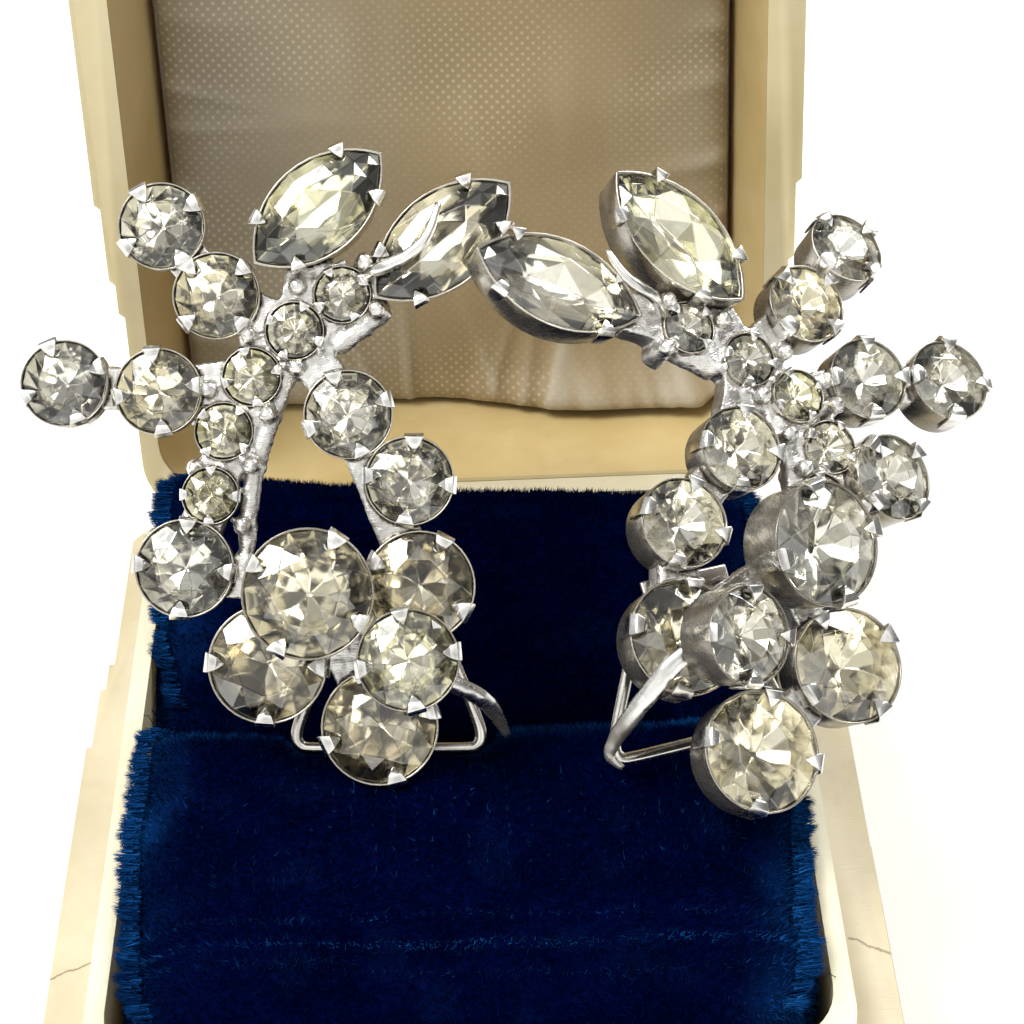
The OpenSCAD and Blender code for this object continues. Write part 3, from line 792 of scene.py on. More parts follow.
def makeLid(facts):
    obj = lidOutline(facts)
    centre = (0, facts["length"] / 2, 0)
    depth = facts["depth"]
    bpy.ops.transform.translate(value=(0, 0, -depth))
    bpy.ops.transform.resize(value=(*facts["backShare"], 1), center_override=centre)
    # From the rounded back straight up to the rim
    left = depth - facts["rimBack"]
    for rise, wider, longer in facts["backRounds"]:
        extrude((0, 0, rise), (wider, longer, 1), centre)
        left -= rise
    extrude((0, 0, left))
    endEdit()
    mendNormals(obj)
    cutWith(obj, lidRoom(facts, centre))
    obj.data.transform(lidStand)
    radius, length, offset = base["knuckle"]
    for side in (-1, 1):
        cutWith(obj, barrel(radius + 0.4, length + base["knucklePlay"], side * offset, 0, 0))
    cutWith(obj, cuboid((base["lidKnuckle"], 1.5, 2.5), (0, 0.75, -0.25)), "UNION")
    cutWith(obj, barrel(radius, base["lidKnuckle"], 0, 0, 0), "UNION")
    cutWith(obj, barrel(base["pinRadius"] + base["pinPlay"], 40, 0, 0, 0))
    bevelSharp(obj, facts["edge"], 3, 40)
    smoothByAngle(obj, 38)
    # The inner walls take the second finish: aged celluloid with painted shade
    paint(obj, ivoryLid, ivoryInsideAgedAndShaded)
    limit = facts["halfWidth"] - facts["rim"] + 0.05
    low, high = facts["rim"] - facts["drop"] - 0.05, facts["length"] - facts["drop"] - facts["rim"] + 0.05
    useSecond(obj, lambda c: (abs(c.x) < limit and low < c.z < high
                              and facts["rimBack"] + 0.35 < c.y < depth - 1.4))
    return settle(obj, "lid_case", lidFrame, "lid", ["lid_shell"])


makeLid(lid)
print("lid done")


# Satin lining of the lid: a stretched sheet over a card pad

lining = {
    "gap": 0.45,
    "thickness": 0.25,
    "back": 9.0,
    "crown": 0.9,
    "corner": 4.2,
    "droop": (3.2, 2.6),  # how far the slack corner comes forward on the wall, and how far up that reaches
    "slow": 0.7,  # how much the whole cloth waves
    "cuts": 110,
    "turnedEdge": 0.003,  # metres of cloth round the card, over both sides
    # Small pulls from each edge: how many, and the ranges of their place, lean, width and height
    "hingePulls": {"count": 30, "place": (0.15, 0.85), "lean": (-0.35, 0.35), "wide": (0.35, 0.85),
                   "high": (0.2, 0.75), "fade": 1.5},
    "sidePulls": {"count": 12, "place": (0.1, 0.9), "lean": (-0.5, 0.15), "wide": (0.4, 1.0),
                  "high": (0.12, 0.5), "fade": 1.4},
    "pullReach": (2.0, 8.5),
}


def pulls(rng, along, inward, start, span, kind, reaches):
    total = 0
    for k in range(kind["count"]):
        place = start + (k + rng.uniform(*kind["place"])) * span / kind["count"]
        reach, lean, wide = rng.uniform(*reaches), rng.uniform(*kind["lean"]), rng.uniform(*kind["wide"])
        total = total + (rng.uniform(*kind["high"]) * np.exp(-((along - place - lean * inward) / wide) ** 2)
                         * np.exp(-(inward / reach) ** kind["fade"]))
    return total


def makeLining(facts):
    drawn = lid["draft"] * facts["back"] / (lid["depth"] - lid["backWall"]) + facts["gap"]
    half = lid["halfWidth"] - lid["rim"] - drawn
    low = lid["rim"] - lid["drop"] + drawn
    high = lid["length"] - lid["drop"] - lid["rim"] - drawn
    obj = primitive("plane", size=2)
    startEdit(obj)
    pickAll()
    bpy.ops.mesh.subdivide(number_cuts=facts["cuts"])
    endEdit()
    flat = vertices(obj)
    u, v = flat[:, 0], flat[:, 1]
    # Corners rounded like the lid's, then the cloth is drawn over the edge of its card
    x, y = u * half, (v + 1) / 2 * (high - low) + low
    corner = facts["corner"]
    for side in (-1, 1):
        dx, dy = x * side - (half - corner), (low + corner) - y
        far = (dx > 0) & (dy > 0)
        square = np.maximum(dx, dy)
        length = np.hypot(dx, dy) + 1e-9
        x = np.where(far, side * (half - corner) + side * dx * square / length, x)
        y = np.where(far, low + corner - dy * square / length, y)
    edge = np.minimum(half - np.abs(x), np.minimum(y - low, high - y))
    puff = facts["crown"] * (1 - np.exp(-np.maximum(edge, 0) / 1.1)) - 0.75 * np.exp(-np.maximum(edge, 0) / 0.35)
    rng = np.random.default_rng(11)
    gather = pulls(rng, x, y - low, -half, 2 * half, facts["hingePulls"], facts["pullReach"])
    for side in (-1, 1):
        gather += pulls(rng, y, half - x * side, low, high - low, facts["sidePulls"], facts["pullReach"])
    slow = ripple(np.column_stack([x, y, 0 * x]), 0.11, 3.0) * facts["slow"]
    most, reach = facts["droop"]
    droop = most * smoothStep(np.clip((x + 3) / 13, 0, 1)) * np.exp(-((y - low) / reach) ** 1.3)
    z = puff - facts["back"] - facts["crown"] + droop
    z += gather * np.clip(edge / 0.7, 0, 1) + slow * np.clip(edge / 3, 0, 1)
    setVertices(obj, np.column_stack([x, y, z]))
    # How high the gathers stand, for painted light and shade on the satin
    storeValue(obj, "foldShading", np.clip(0.5 + (gather - gather.mean()) * 0.9 + slow * 0.3, 0, 1))
    storeValue(obj, "acrossCloth", u * half)
    storeValue(obj, "upCloth", (v + 1) / 2 * (high - low))
    smoothByAngle(obj, 180)
    applyModifier(obj, "SOLIDIFY", thickness=facts["thickness"], offset=-1)
    obj.data.transform(lidStand)
    paint(obj, satinCloth)
    settle(obj, "lining_satin", lidFrame, "lid", ["lid_lining"])
    wide, tall = (side * 0.001 + facts["turnedEdge"] for side in (2 * half, high - low))
    return obj


makeLining(lining)
print("lining done")


# Stones

# Round cups: x, y and z of the rim's middle, radius, turn, lean and the way it leans. Small ones: x, y, radius.
# Marquise cups: x, y, z, half length, half width and turn.
leftStones = {
    "round": [
        (-7.1, 13.5, 0.4, 2.66, 32, 0, 0), (-3.8, 9.3, 0.4, 2.66, 43, 0, 0), (-13.0, 4.0, 0.4, 2.66, 22, 4, 90),
        (-7.3, 3.5, 0.4, 2.65, 8, 0, 0), (4.2, 2.1, 0.6, 2.72, 20, 3, 30), (7.9, -1.9, 0.6, 2.73, 84, 3, 60),
        (-5.7, -7.2, 0.6, 3.0, 85, 3, 90), (2.1, -8.6, 5.0, 3.92, 62, 3, 60), (8.5, -8.3, 0.4, 3.4, 62, 0, 0),
        (-0.7, -13.0, 0.4, 3.63, 88, 0, 0), (6.1, -16.8, 0.4, 3.57, 18, 0, 0), (8.0, -12.5, 5.0, 3.05, 10, 4, 60),
    ],
    "small": [(3.8, 9.4, 1.76), (0.9, 7.2, 1.8), (-1.7, 4.4, 1.82), (-3.4, 1.1, 1.79), (-4.2, -2.8, 1.76)],
    "marquise": [(2.4, 14.5, 1.2, 5.1, 2.85, 41), (9.9, 12.65, 0.6, 5.4, 2.9, 40.4)],
    "roundKinds": ["clear", "champagne", "grey", "champagne", "clear", "clear", "grey", "champagne", "smoky",
                   "smoky", "smoky", "straw"],
    "smallKinds": ["clear", "clear", "straw", "straw", "straw"],
    "marquiseKinds": ["straw", "champagne"],
}
rightStones = {
    "round": [
        (9.4, 12.8, 0.4, 2.5, 25, 15, 60), (5.5, 9.7, 0.4, 2.55, 33, 4, 60), (13.8, 3.3, 0.4, 2.68, 75, 6, 60),
        (8.2, 4.35, 0.4, 2.6, 80, 0, 0), (-1.8, 1.6, 0.6, 2.63, 70, 0, 0), (-6.8, -2.1, 0.6, 2.77, 60, 0, 0),
        (7.8, -2.0, 0.6, 2.75, 30, 10, 0), (-0.5, -5.7, 5.0, 3.71, 6, 12, 315), (-8.7, -8.7, 0.4, 3.49, 67, 0, 0),
        (1.2, -12.5, 0.4, 3.57, 20, 0, 0), (-5.9, -16.2, 0.4, 3.67, 65, 0, 0), (-7.0, -9.9, 5.0, 2.9, 77, 15, 315),
    ],
    "small": [(-2.6, 9.6, 1.66), (0.8, 7.0, 1.7), (3.35, 4.2, 1.7), (4.5, 0.7, 1.7), (3.0, -2.3, 1.6)],
    "marquise": [(-2.1, 15.0, 1.2, 5.5, 2.85, 123), (-10.4, 13.5, 0.6, 5.5, 2.85, 148)],
    "roundKinds": ["grey", "champagne", "grey", "grey", "clear", "clear", "grey", "grey", "champagne",
                   "champagne", "champagne", "grey"],
    "smallKinds": ["grey", "grey", "straw", "clear", "champagne"],
    "marquiseKinds": ["straw", "clear"],
}
facetChance = np.random.default_rng(21)
cut = {
    "wall": 0.11,
    "gap": 0.03,
    # Rings of corners from the table down, as shares of the girdle's radius: how many, radius, height and turn
    "round": [(8, 0.55, 0.22, 22.5), (8, 0.79, 0.1232, 0), (16, 1.0, 0.0, 11.25), (16, 1.0, -0.045, 11.25),
              (16, 0.6, -0.3, 0), (8, 0.3, -0.47, 11.25), (6, 0.04, -0.6, 0)],
    "small": [(8, 0.5, 0.25, 22.5), (8, 1.0, 0.0, 0), (8, 0.985, 0.0, 22.5), (8, 1.0, -0.07, 0),
              (8, 0.985, -0.07, 22.5), (6, 0.05, -0.6, 0)],
    # Marquises: how many corners, shares of the half length and half width, and height
    "leaf": [(8, 0.6, 0.5, 0.78), (12, 0.82, 0.78, 0.42), (16, 1, 1, 0.0), (16, 1, 1, -0.12), (8, 0.7, 0.55, -0.8)],
    "keel": (0.36, 0.06, -1.35),  # share of the half length, half width, height
    "chamfer": (0.014, 0.0196, 0.045),  # of round and small stones, before they are scaled, and of marquises
    "sink": (0.15, 0.1, 0.15),  # how far the girdles lie below the rims of their cups
    "spin": (17.0, 23.0),  # degrees from one stone to the next
    "foilBelow": (0.06, 0.08, 0.14),
}


def leanAt(x, y, z, lean, way):
    way = math.radians(way)
    axis = Vector((-math.sin(way), math.cos(way), 0))
    return Matrix.Translation((x, y, z)) @ Matrix.Rotation(math.radians(lean), 4, axis)


def ring(sides, radius, z, turn=0.0):
    obj = primitive("circle", vertices=sides, radius=radius)
    obj.data.transform(Matrix.Translation((0, 0, z)) @ turned(0, 0, turn))
    return obj


def cutStone(rings, name, chamfer):
    obj = join(rings, name)
    startEdit(obj, "VERT")
    pickAll()
    bpy.ops.mesh.convex_hull()
    pickAll()
    bpy.ops.mesh.dissolve_limited(angle_limit=math.radians(0.6))
    bpy.ops.mesh.normals_make_consistent(inside=False)
    endEdit()
    bevelSharp(obj, chamfer, 1, 3)
    return obj


def leafEdge(x, halfLength, halfWidth):
    # Half the width of a leaf between two arcs, at x along it
    radius = (halfLength ** 2 + halfWidth ** 2) / (2 * halfWidth)
    return np.sqrt(np.maximum(radius ** 2 - x ** 2, 0)) - radius + halfWidth


def leafRing(sides, halfLength, halfWidth, z):
    obj = ring(sides, 1.0, z)
    points = vertices(obj)
    x = points[:, 0] * halfLength
    y = np.sign(np.round(points[:, 1], 6)) * leafEdge(x, halfLength, halfWidth)
    setVertices(obj, np.column_stack([x, y, points[:, 2]]))
    return obj


def leafStone(halfLength, halfWidth, facts):
    share = 1 - (facts["wall"] + facts["gap"]) / halfWidth
    a, b = halfLength * share, halfWidth * share
    long, wide, low = facts["keel"]
    keel = primitive("circle", vertices=4, radius=1)
    keel.data.transform(Matrix.Translation((0, 0, low)) @ Matrix.Diagonal((a * long, wide, 1, 1)))
    rings = [leafRing(sides, a * shareA, b * shareB, z) for sides, shareA, shareB, z in facts["leaf"]]
    return cutStone(rings + [keel], "leafStone", facts["chamfer"][2])


def setStone(obj, name, place, kind, foilBelow):
    paint(obj, *stoneLooks[kind])
    # Each facet of the foil catches the light a little differently
    layer = obj.data.attributes.new("facet", "FLOAT", "FACE")
    layer.data.foreach_set("value", facetChance.random(len(obj.data.polygons)).astype(np.float32))
    for face in obj.data.polygons:
        face.use_smooth = False
    useSecond(obj, lambda c: c.z < foilBelow)
    settle(obj, name + "_stone", place, "box_and_earrings", [name])


def setAllStones(side, table, sideFrame, masters):
    roundOne, smallOne = masters
    slack, sink, spin, foil = cut["wall"] + cut["gap"], cut["sink"], cut["spin"], cut["foilBelow"]
    for index, (x, y, z, r, turn, lean, way) in enumerate(table["round"]):
        place = sideFrame @ leanAt(x, y, z, lean, way) @ Matrix.Translation((0, 0, -sink[0]))
        stone = copyOf(roundOne, turned(0, 0, spin[0] * index) @ Matrix.Scale(r - slack, 4))
        setStone(stone, f"{side}_round_{index + 1}", place, table["roundKinds"][index], -foil[0] * (r - slack))
    for index, (x, y, r) in enumerate(table["small"]):
        place = sideFrame @ Matrix.Translation((x, y, -sink[1]))
        stone = copyOf(smallOne, turned(0, 0, spin[1] * index) @ Matrix.Scale(r - slack, 4))
        setStone(stone, f"{side}_small_{index + 1}", place, table["smallKinds"][index], -foil[1] * (r - slack))
    for index, (x, y, z, a, b, turn) in enumerate(table["marquise"]):
        place = sideFrame @ Matrix.Translation((x, y, z - sink[2])) @ turned(0, 0, turn)
        setStone(leafStone(a, b, cut), f"{side}_marquise_{index + 1}", place, table["marquiseKinds"][index], -foil[2])


stoneMasters = [cutStone([ring(*facts) for facts in cut[kind]], kind + "Master", chamfer)
                for kind, chamfer in zip(("round", "small"), cut["chamfer"])]
setAllStones("left", leftStones, leftFrame, stoneMasters)
setAllStones("right", rightStones, rightFrame, stoneMasters)
drop(*stoneMasters)
print("stones done")


# Cups, claws and soldered web of each earring

metalwork = {
    "back": -2.2,  # the plane behind the low cups
    "lowBody": 2.6,
    "raisedBody": (3.5, 3.0),
    "smallBody": 2.1,
    "wallShare": 0.034,
    "clawPath": ((0.05, -1.5), (0.07, -0.25), (0.06, 0.22), (-0.14, 0.5), (-0.5, 0.5), (-0.95, 0.3)),
    "clawWidth": (0.85, 1.05, 1.16, 1.1, 0.72, 0.1),
    "clawThick": (0.14, 0.18, 0.24, 0.3, 0.26, 0.12),
    "barWidth": 2.6,
    "barTop": -0.3,
    "rodShare": 1.35,
    "grain": (0.85, 0.42, 2.3),  # radius below and above, height
    "voxel": 0.15,
    "lumps": 0.16,
    "beads": (6, 0.2, 0.34),  # round each small cup: how many, and their least and greatest radius
}
handMade = np.random.default_rng(8)
# Bars run from one cup to another: r, s and m stand for round, small and marquise, numbered from 1, and the loose one
# runs from a place. Posts: x, y, radius, height. Grains: x, y. Rods, stem and tendril: paths of x, y, z, radius.
leftMetal = {
    "bars": ("r1 r2", "r2 s2", "r3 r4", "r4 s3", "s1 s3", "s3 s5", "s5 r7", "s2 r5", "r5 r9", "s2 m1", "s1 m2",
             "r7 r8", "r8 r9", "r8 r10", "r8 r11"),
    "looseBars": [((9.6, -12.9), "r11")],
    "posts": [(2.4, -7.3, 1.9, 1.6), (9.4, -12.9, 1.0, 2.2)],
    "grains": [(1.1, 9.9), (5.9, 8.5), (-1.9, 6.9), (1.0, 5.0), (-0.7, 2.1), (-4.3, 3.6), (-1.7, -1.0),
               (-5.1, -1.2), (-2.2, -4.6), (5.2, 11.4)],
    "rods": [[(0.5, 4.5, -0.9, 0.4), (-0.85, 1.2, -0.9, 0.45), (-1.9, -2.5, -0.9, 0.45), (-2.1, -6.3, -0.9, 0.4)],
             [(3.4, 6.2, -1.0, 0.5), (6.4, 8.7, -0.8, 0.62)]],
    "stem": [(9.0, -13.4, 1.3, 0.5), (10.9, -14.4, 0.9, 0.55), (12.4, -15.2, 0.1, 0.58), (13.3, -16.2, -1.2, 0.5),
             (13.8, -17.6, -3.1, 0.25)],
    "tendril": [(4.9, 10.4, -0.6, 0.45), (5.6, 10.6, 1.3, 0.44), (6.4, 10.85, 2.1, 0.42), (8.1, 11.6, 2.35, 0.36),
                (9.3, 13.1, 2.25, 0.3), (9.7, 14.7, 2.05, 0.2)],
}
rightMetal = {
    "bars": ("r1 r2", "r2 s2", "r3 r4", "r4 s3", "s1 s3", "s3 s5", "s5 r7", "s2 r5", "r5 r6", "r6 r9", "s2 m1",
             "s1 m2", "s5 r8", "r8 r9", "r8 r10", "r10 r11"),
    "looseBars": [],
    "posts": [(-0.8, -6.2, 1.9, 1.6), (-4.9, -11.0, 0.9, 2.2)],
    "grains": [(-0.3, 9.7), (-4.6, 8.6), (3.1, 7.0), (0.8, 4.6), (1.9, 1.9), (5.6, 3.2), (2.2, -0.3),
               (6.2, -0.2), (-3.6, 11.4), (5.0, -3.6)],
    "rods": [[(1.2, 4.3, -0.9, 0.4), (2.1, 1.2, -0.9, 0.45), (1.2, -2.0, -0.9, 0.45), (0.6, -4.4, -0.9, 0.4)],
             [(-1.2, 7.0, -1.2, 0.6), (-4.8, 9.4, -1.1, 0.45)]],
    "stem": [(-7.0, -9.0, 2.3, 0.5), (-9.9, -9.9, 2.0, 0.62), (-11.6, -11.3, 1.0, 0.62), (-12.9, -12.6, -0.9, 0.58),
             (-13.6, -13.6, -3.0, 0.45), (-13.7, -14.3, -3.7, 0.3), (-12.9, -14.9, -3.9, 0.2)],
    "tendril": [(-3.8, 10.8, -0.6, 0.45), (-4.6, 11.1, 1.3, 0.42), (-5.6, 11.6, 2.1, 0.4), (-7.0, 12.8, 2.2, 0.34),
                (-7.6, 14.6, 2.1, 0.2)],
}


def tube(path, sides, steps):
    # A round wire through the points of the path, each an x, y, z and radius
    curve = bpy.data.curves.new("tube", "CURVE")
    curve.dimensions = "3D"
    curve.bevel_depth = 1.0
    curve.bevel_resolution = sides // 4
    curve.use_fill_caps = True
    spline = curve.splines.new("NURBS")
    spline.points.add(len(path) - 1)
    for point, (x, y, z, radius) in zip(spline.points, path):
        point.co = (x, y, z, 1)
        point.radius = radius
    spline.order_u = min(3, len(path))
    spline.use_endpoint_u = True
    spline.resolution_u = steps
    obj = bpy.data.objects.new("tube", curve)
    bpy.context.collection.objects.link(obj)
    activate(obj)
    bpy.ops.object.convert(target="MESH")
    obj = bpy.context.object
    mendNormals(obj, 0.001)
    return obj


def cupMaster(facts):
    # Radius 1 and height 1, with its rim at the origin's height
    obj = primitive("cylinder", vertices=44, radius=1, depth=1, location=(0, 0, -0.5))
    startEdit(obj)
    pickFaces(obj, lambda c, n: n.z > 0.9)
    bpy.ops.mesh.inset(thickness=facts["wallShare"])
    extrude((0, 0, -0.86), (0.97, 0.97, 1), (0, 0, 0))
    pickFaces(obj, lambda c, n: n.z < -0.9 and c.z < -0.9)
    bpy.ops.transform.resize(value=(0.95, 0.95, 1))
    bpy.ops.mesh.inset(thickness=0.12)
    endEdit()
    bevelSharp(obj, 0.012, 2, 40)
    smoothByAngle(obj, 50)
    return obj


def clawMaster(facts):
    # A strip that rises up the wall at the origin and bends inward, towards -x
    path = [Vector((x, 0, z)) for x, z in facts["clawPath"]]
    obj = primitive("plane", size=2)
    startEdit(obj)
    pickAll()
    for _ in path[1:]:
        extrude((0, 0, 1))
    endEdit()
    shaped = []
    for x, y, z in vertices(obj):
        level = int(round(z))
        before, after = path[max(level - 1, 0)], path[min(level + 1, len(path) - 1)]
        along = (after - before).normalized()
        outward = Vector((along.z, 0, -along.x))
        across = Vector((0, y * facts["clawWidth"][level] / 2, 0))
        shaped.append(path[level] + outward * (x * facts["clawThick"][level] / 2) + across)
    setVertices(obj, [tuple(p) for p in shaped])
    mendNormals(obj, 0.001)
    bevelSharp(obj, 0.05, 2, 30)
    smoothByAngle(obj, 28)
    return obj


def leafCup(halfLength, halfWidth, height, facts):
    obj = primitive("cylinder", vertices=40, radius=1, depth=height, location=(0, 0, -height / 2))
    startEdit(obj)
    pickFaces(obj, lambda c, n: n.z > 0.9)
    bpy.ops.mesh.inset(thickness=facts["wallShare"] * 1.15)
    extrude((0, 0, -height * 0.84), (0.97, 0.97, 1))
    endEdit()
    points = vertices(obj)
    rho = np.hypot(points[:, 0], points[:, 1]) + 1e-9
    along = points[:, 0] / rho * halfLength
    across = np.sign(np.round(points[:, 1], 6)) * leafEdge(along, halfLength, halfWidth)
    taper = 1 + 0.05 * points[:, 2] / height
    setVertices(obj, np.column_stack([along * rho * taper, across * rho * taper, points[:, 2]]))
    mendNormals(obj, 0.001)
    bevelSharp(obj, 0.045, 2, 45)
    smoothByAngle(obj, 50)
    return obj


def cupBody(z, r, facts):
    if z > 3:
        return facts["raisedBody"][0 if r > 3.3 else 1]
    return facts["lowBody"] + z - 0.4


def cupRooms(table, facts):
    # Where each cup stands, which points are inside its wall, and how deep it is
    def disc(r):
        return lambda a, b: np.hypot(a, b) < r - 0.05

    def leaf(long, wide):
        return lambda a, b: np.abs(b) < leafEdge(a, long, wide) - 0.06

    for x, y, z, r, turn, lean, way in table["round"]:
        yield leanAt(x, y, z, lean, way), disc(r), cupBody(z, r, facts)
    for x, y, r in table["small"]:
        yield Matrix.Translation((x, y, 0)), disc(r), facts["smallBody"]
    for x, y, z, long, wide, turn in table["marquise"]:
        yield Matrix.Translation((x, y, z)) @ turned(0, 0, turn), leaf(long, wide), z - facts["back"] - 0.1


def clearCups(points, table, facts):
    # Nothing of the web stands inside a cup: what would is set down at the cup's floor
    for place, inside, body in cupRooms(table, facts):
        local = points @ np.array(place.inverted().to_3x3()).T + np.array(place.inverted().translation)
        within = inside(local[:, 0], local[:, 1]) & (local[:, 2] > -0.93 * body) & (local[:, 2] < 1.5)
        local[within, 2] = -0.93 * body
        moved = local @ np.array(place.to_3x3()).T + np.array(place.translation)
        points[within] = moved[within]
    return points


def cupPlace(label, table):
    kind = {"r": "round", "s": "small", "m": "marquise"}[label[0]]
    return table[kind][int(label[1:]) - 1][:2]


def makeWeb(metal, table, facts):
    back, top, wide = facts["back"], facts["barTop"], facts["barWidth"]
    low = back + 0.15
    parts = []

    def bead(radius, x, y, z):
        parts.append(primitive("uv_sphere", segments=12, ring_count=8, radius=radius, location=(x, y, z)))

    ends = [[cupPlace(label, table) for label in bar.split()] for bar in metal["bars"]]
    ends += [(place, cupPlace(label, table)) for place, label in metal["looseBars"]]
    for (x0, y0), (x1, y1) in ends:
        run, middle = Vector((x1 - x0, y1 - y0, 0)), ((x0 + x1) / 2, (y0 + y1) / 2, (low + top) / 2)
        parts.append(cuboid((run.length, wide, top - low), middle,
                            turned(0, 0, math.degrees(math.atan2(run.y, run.x)))))
    for x, y, radius, high in metal["posts"]:
        foot = back + 0.3
        parts.append(primitive("cylinder", vertices=20, radius=radius, depth=high - foot,
                               location=(x, y, (high + foot) / 2)))
    wideR, tipR, tall = facts["grain"]
    for x, y in metal["grains"]:
        parts.append(primitive("cone", vertices=12, radius1=wideR, radius2=tipR, depth=tall,
                               location=(x, y, back + 0.1 + tall / 2)))
        bead(tipR * 1.35, x, y, back + 0.1 + tall)
    for path in metal["rods"]:
        parts.append(tube([(x, y, z, facts["rodShare"] * r) for x, y, z, r in path], 10, 5))
    count, least, greatest = facts["beads"]
    for x, y, r in table["small"]:
        for turn in handMade.uniform(0, 2 * math.pi, count):
            reach = r + handMade.uniform(0.02, 0.25)
            bead(handMade.uniform(least, greatest), x + reach * math.cos(turn), y + reach * math.sin(turn),
                 handMade.uniform(-0.5, -0.05))
    obj = join(parts, "web")
    applyModifier(obj, "REMESH", mode="VOXEL", voxel_size=facts["voxel"], adaptivity=0.0)
    applyModifier(obj, "SMOOTH", factor=0.5, iterations=5)
    points, normals = vertices(obj), pointNormals(obj)
    lumps = ripple(points, 1.1, 4.0) * 0.55 + ripple(points, 2.6, 9.0) * 0.4 + ripple(points, 4.5, 2.0) * 0.25
    setVertices(obj, points + normals * (lumps * facts["lumps"])[:, None])
    applyModifier(obj, "SMOOTH", factor=0.5, iterations=2)
    setVertices(obj, clearCups(vertices(obj), table, facts))
    smoothAll(obj)
    return obj


def stainAndShade(obj, amount):
    # Stores how dark the metal is drawn: the given amount and random patches of tarnish, plus painted shade that
    # deepens towards the back of the piece (lower z)
    points = vertices(obj)
    depth = np.clip((0.1 - points[:, 2]) / 2.3, 0, 1)
    patch = ripple(points, 0.45, 2.0) * 0.9 + ripple(points, 1.7, 5.0) * 0.4
    storeValue(obj, "darkening", np.clip(amount + depth * 0.95 + patch * 0.6 * (0.4 + depth), 0, 1))
    return obj


def makeStrip(path, flat):
    # A tendril or stem, pressed flat across its run
    strip = tube(path, 14, 8)
    start, end = Vector(path[0][:3]), Vector(path[-1][:3])
    thin = np.array((end - start).cross(Vector((0, 0, 1))).cross(end - start).normalized())
    points = vertices(strip)
    squeeze = (points - np.array(start)) @ thin
    points = points - np.outer(squeeze * (1 - flat), thin)
    setVertices(strip, points + pointNormals(strip) * (ripple(points, 2.2, 1.0) * 0.04)[:, None])
    smoothAll(strip)
    return strip


def makeSetting(side, table, metal, facts, sideFrame):
    cup, claw = cupMaster(facts), clawMaster(facts)
    parts = []

    def add(one, finish, darkening):
        paint(one, finish)
        parts.append(stainAndShade(one, darkening))

    def addClaw(place, x, turn, size=1.0):
        seat = place @ turned(0, 0, turn) @ Matrix.Translation((x, 0, 0)) @ Matrix.Scale(size, 4)
        twist, scale = turned(0, 0, handMade.uniform(-7, 7)), Matrix.Scale(handMade.uniform(0.92, 1.06), 4)
        add(copyOf(claw, seat @ twist @ scale), clawMetal, -0.15)

    def addCup(place, r, body, darkening, turn, size):
        add(copyOf(cup, place @ Matrix.Diagonal((r, r, body, 1))), cupMetal, darkening)
        for quarter in range(4):
            addClaw(place, r - 0.02, turn + 90 * quarter, size)

    for x, y, z, r, turn, lean, way in table["round"]:
        addCup(leanAt(x, y, z, lean, way), r, cupBody(z, r, facts), 0.75 if z > 3 else 0.3, turn,
               1.12 if r > 3.3 else 1.0)
    for index, (x, y, r) in enumerate(table["small"]):
        addCup(Matrix.Translation((x, y, 0)), r, facts["smallBody"], 0.05, 30 + 37 * index, 0.62)
    for x, y, z, a, b, turn in table["marquise"]:
        place = Matrix.Translation((x, y, z)) @ turned(0, 0, turn)
        one = leafCup(a, b, z - facts["back"] - 0.1, facts)
        one.data.transform(place)
        add(one, cupMetal, 0.05)
        for end in (-0.52, 0.52):
            for flank in (-1, 1):
                spot = place @ Matrix.Translation((end * a, 0, 0))
                addClaw(spot, b * 0.76 + 0.03, flank * (90 - end * 32), 0.9)
    add(makeWeb(metal, table, facts), solderMetal, 0.1)
    for path, flat in ((metal["tendril"], 0.85), (metal["stem"], 0.55)):
        add(makeStrip(path, flat), clawMetal, -0.1)
    obj = join(parts, f"{side}_cups_and_claws")
    drop(cup, claw)
    settle(obj, f"{side}_cups_and_claws", sideFrame, "box_and_earrings", [f"{side}_setting"])
    print(side, "setting triangles:", sum(len(f.vertices) - 2 for f in obj.data.polygons))


makeSetting("left", leftStones, leftMetal, metalwork, leftFrame)
makeSetting("right", rightStones, rightMetal, metalwork, rightFrame)
print("settings done")


# Clips: a bored bracket behind the cups and a tapered wire hoop on two pins

clip = {
    "hoopLength": 8.9,
    "hoopHalf": 6.15,
    "rootHalf": 3.3,
    "rootUp": 0.7,
    "wire": 0.8,
    "thick": 0.6,
    "corner": 0.9,
    "pin": 0.38,
    "pinLength": 1.5,
    "ear": (0.9, 1.6),  # thickness and width
    "earTall": 2.4,
    "bore": 0.43,
    "plate": (0.8, 0.35),  # how much narrower than the hoop's root, and thickness
    "eye": (0.46, 0.24),  # the loop round the pin: radius, and radius of its wire
}
leftPivot = Matrix.Translation((6.45, -10.0, -3.95))
rightPivot = Matrix.Translation((-6.3, -6.2, -3.95))


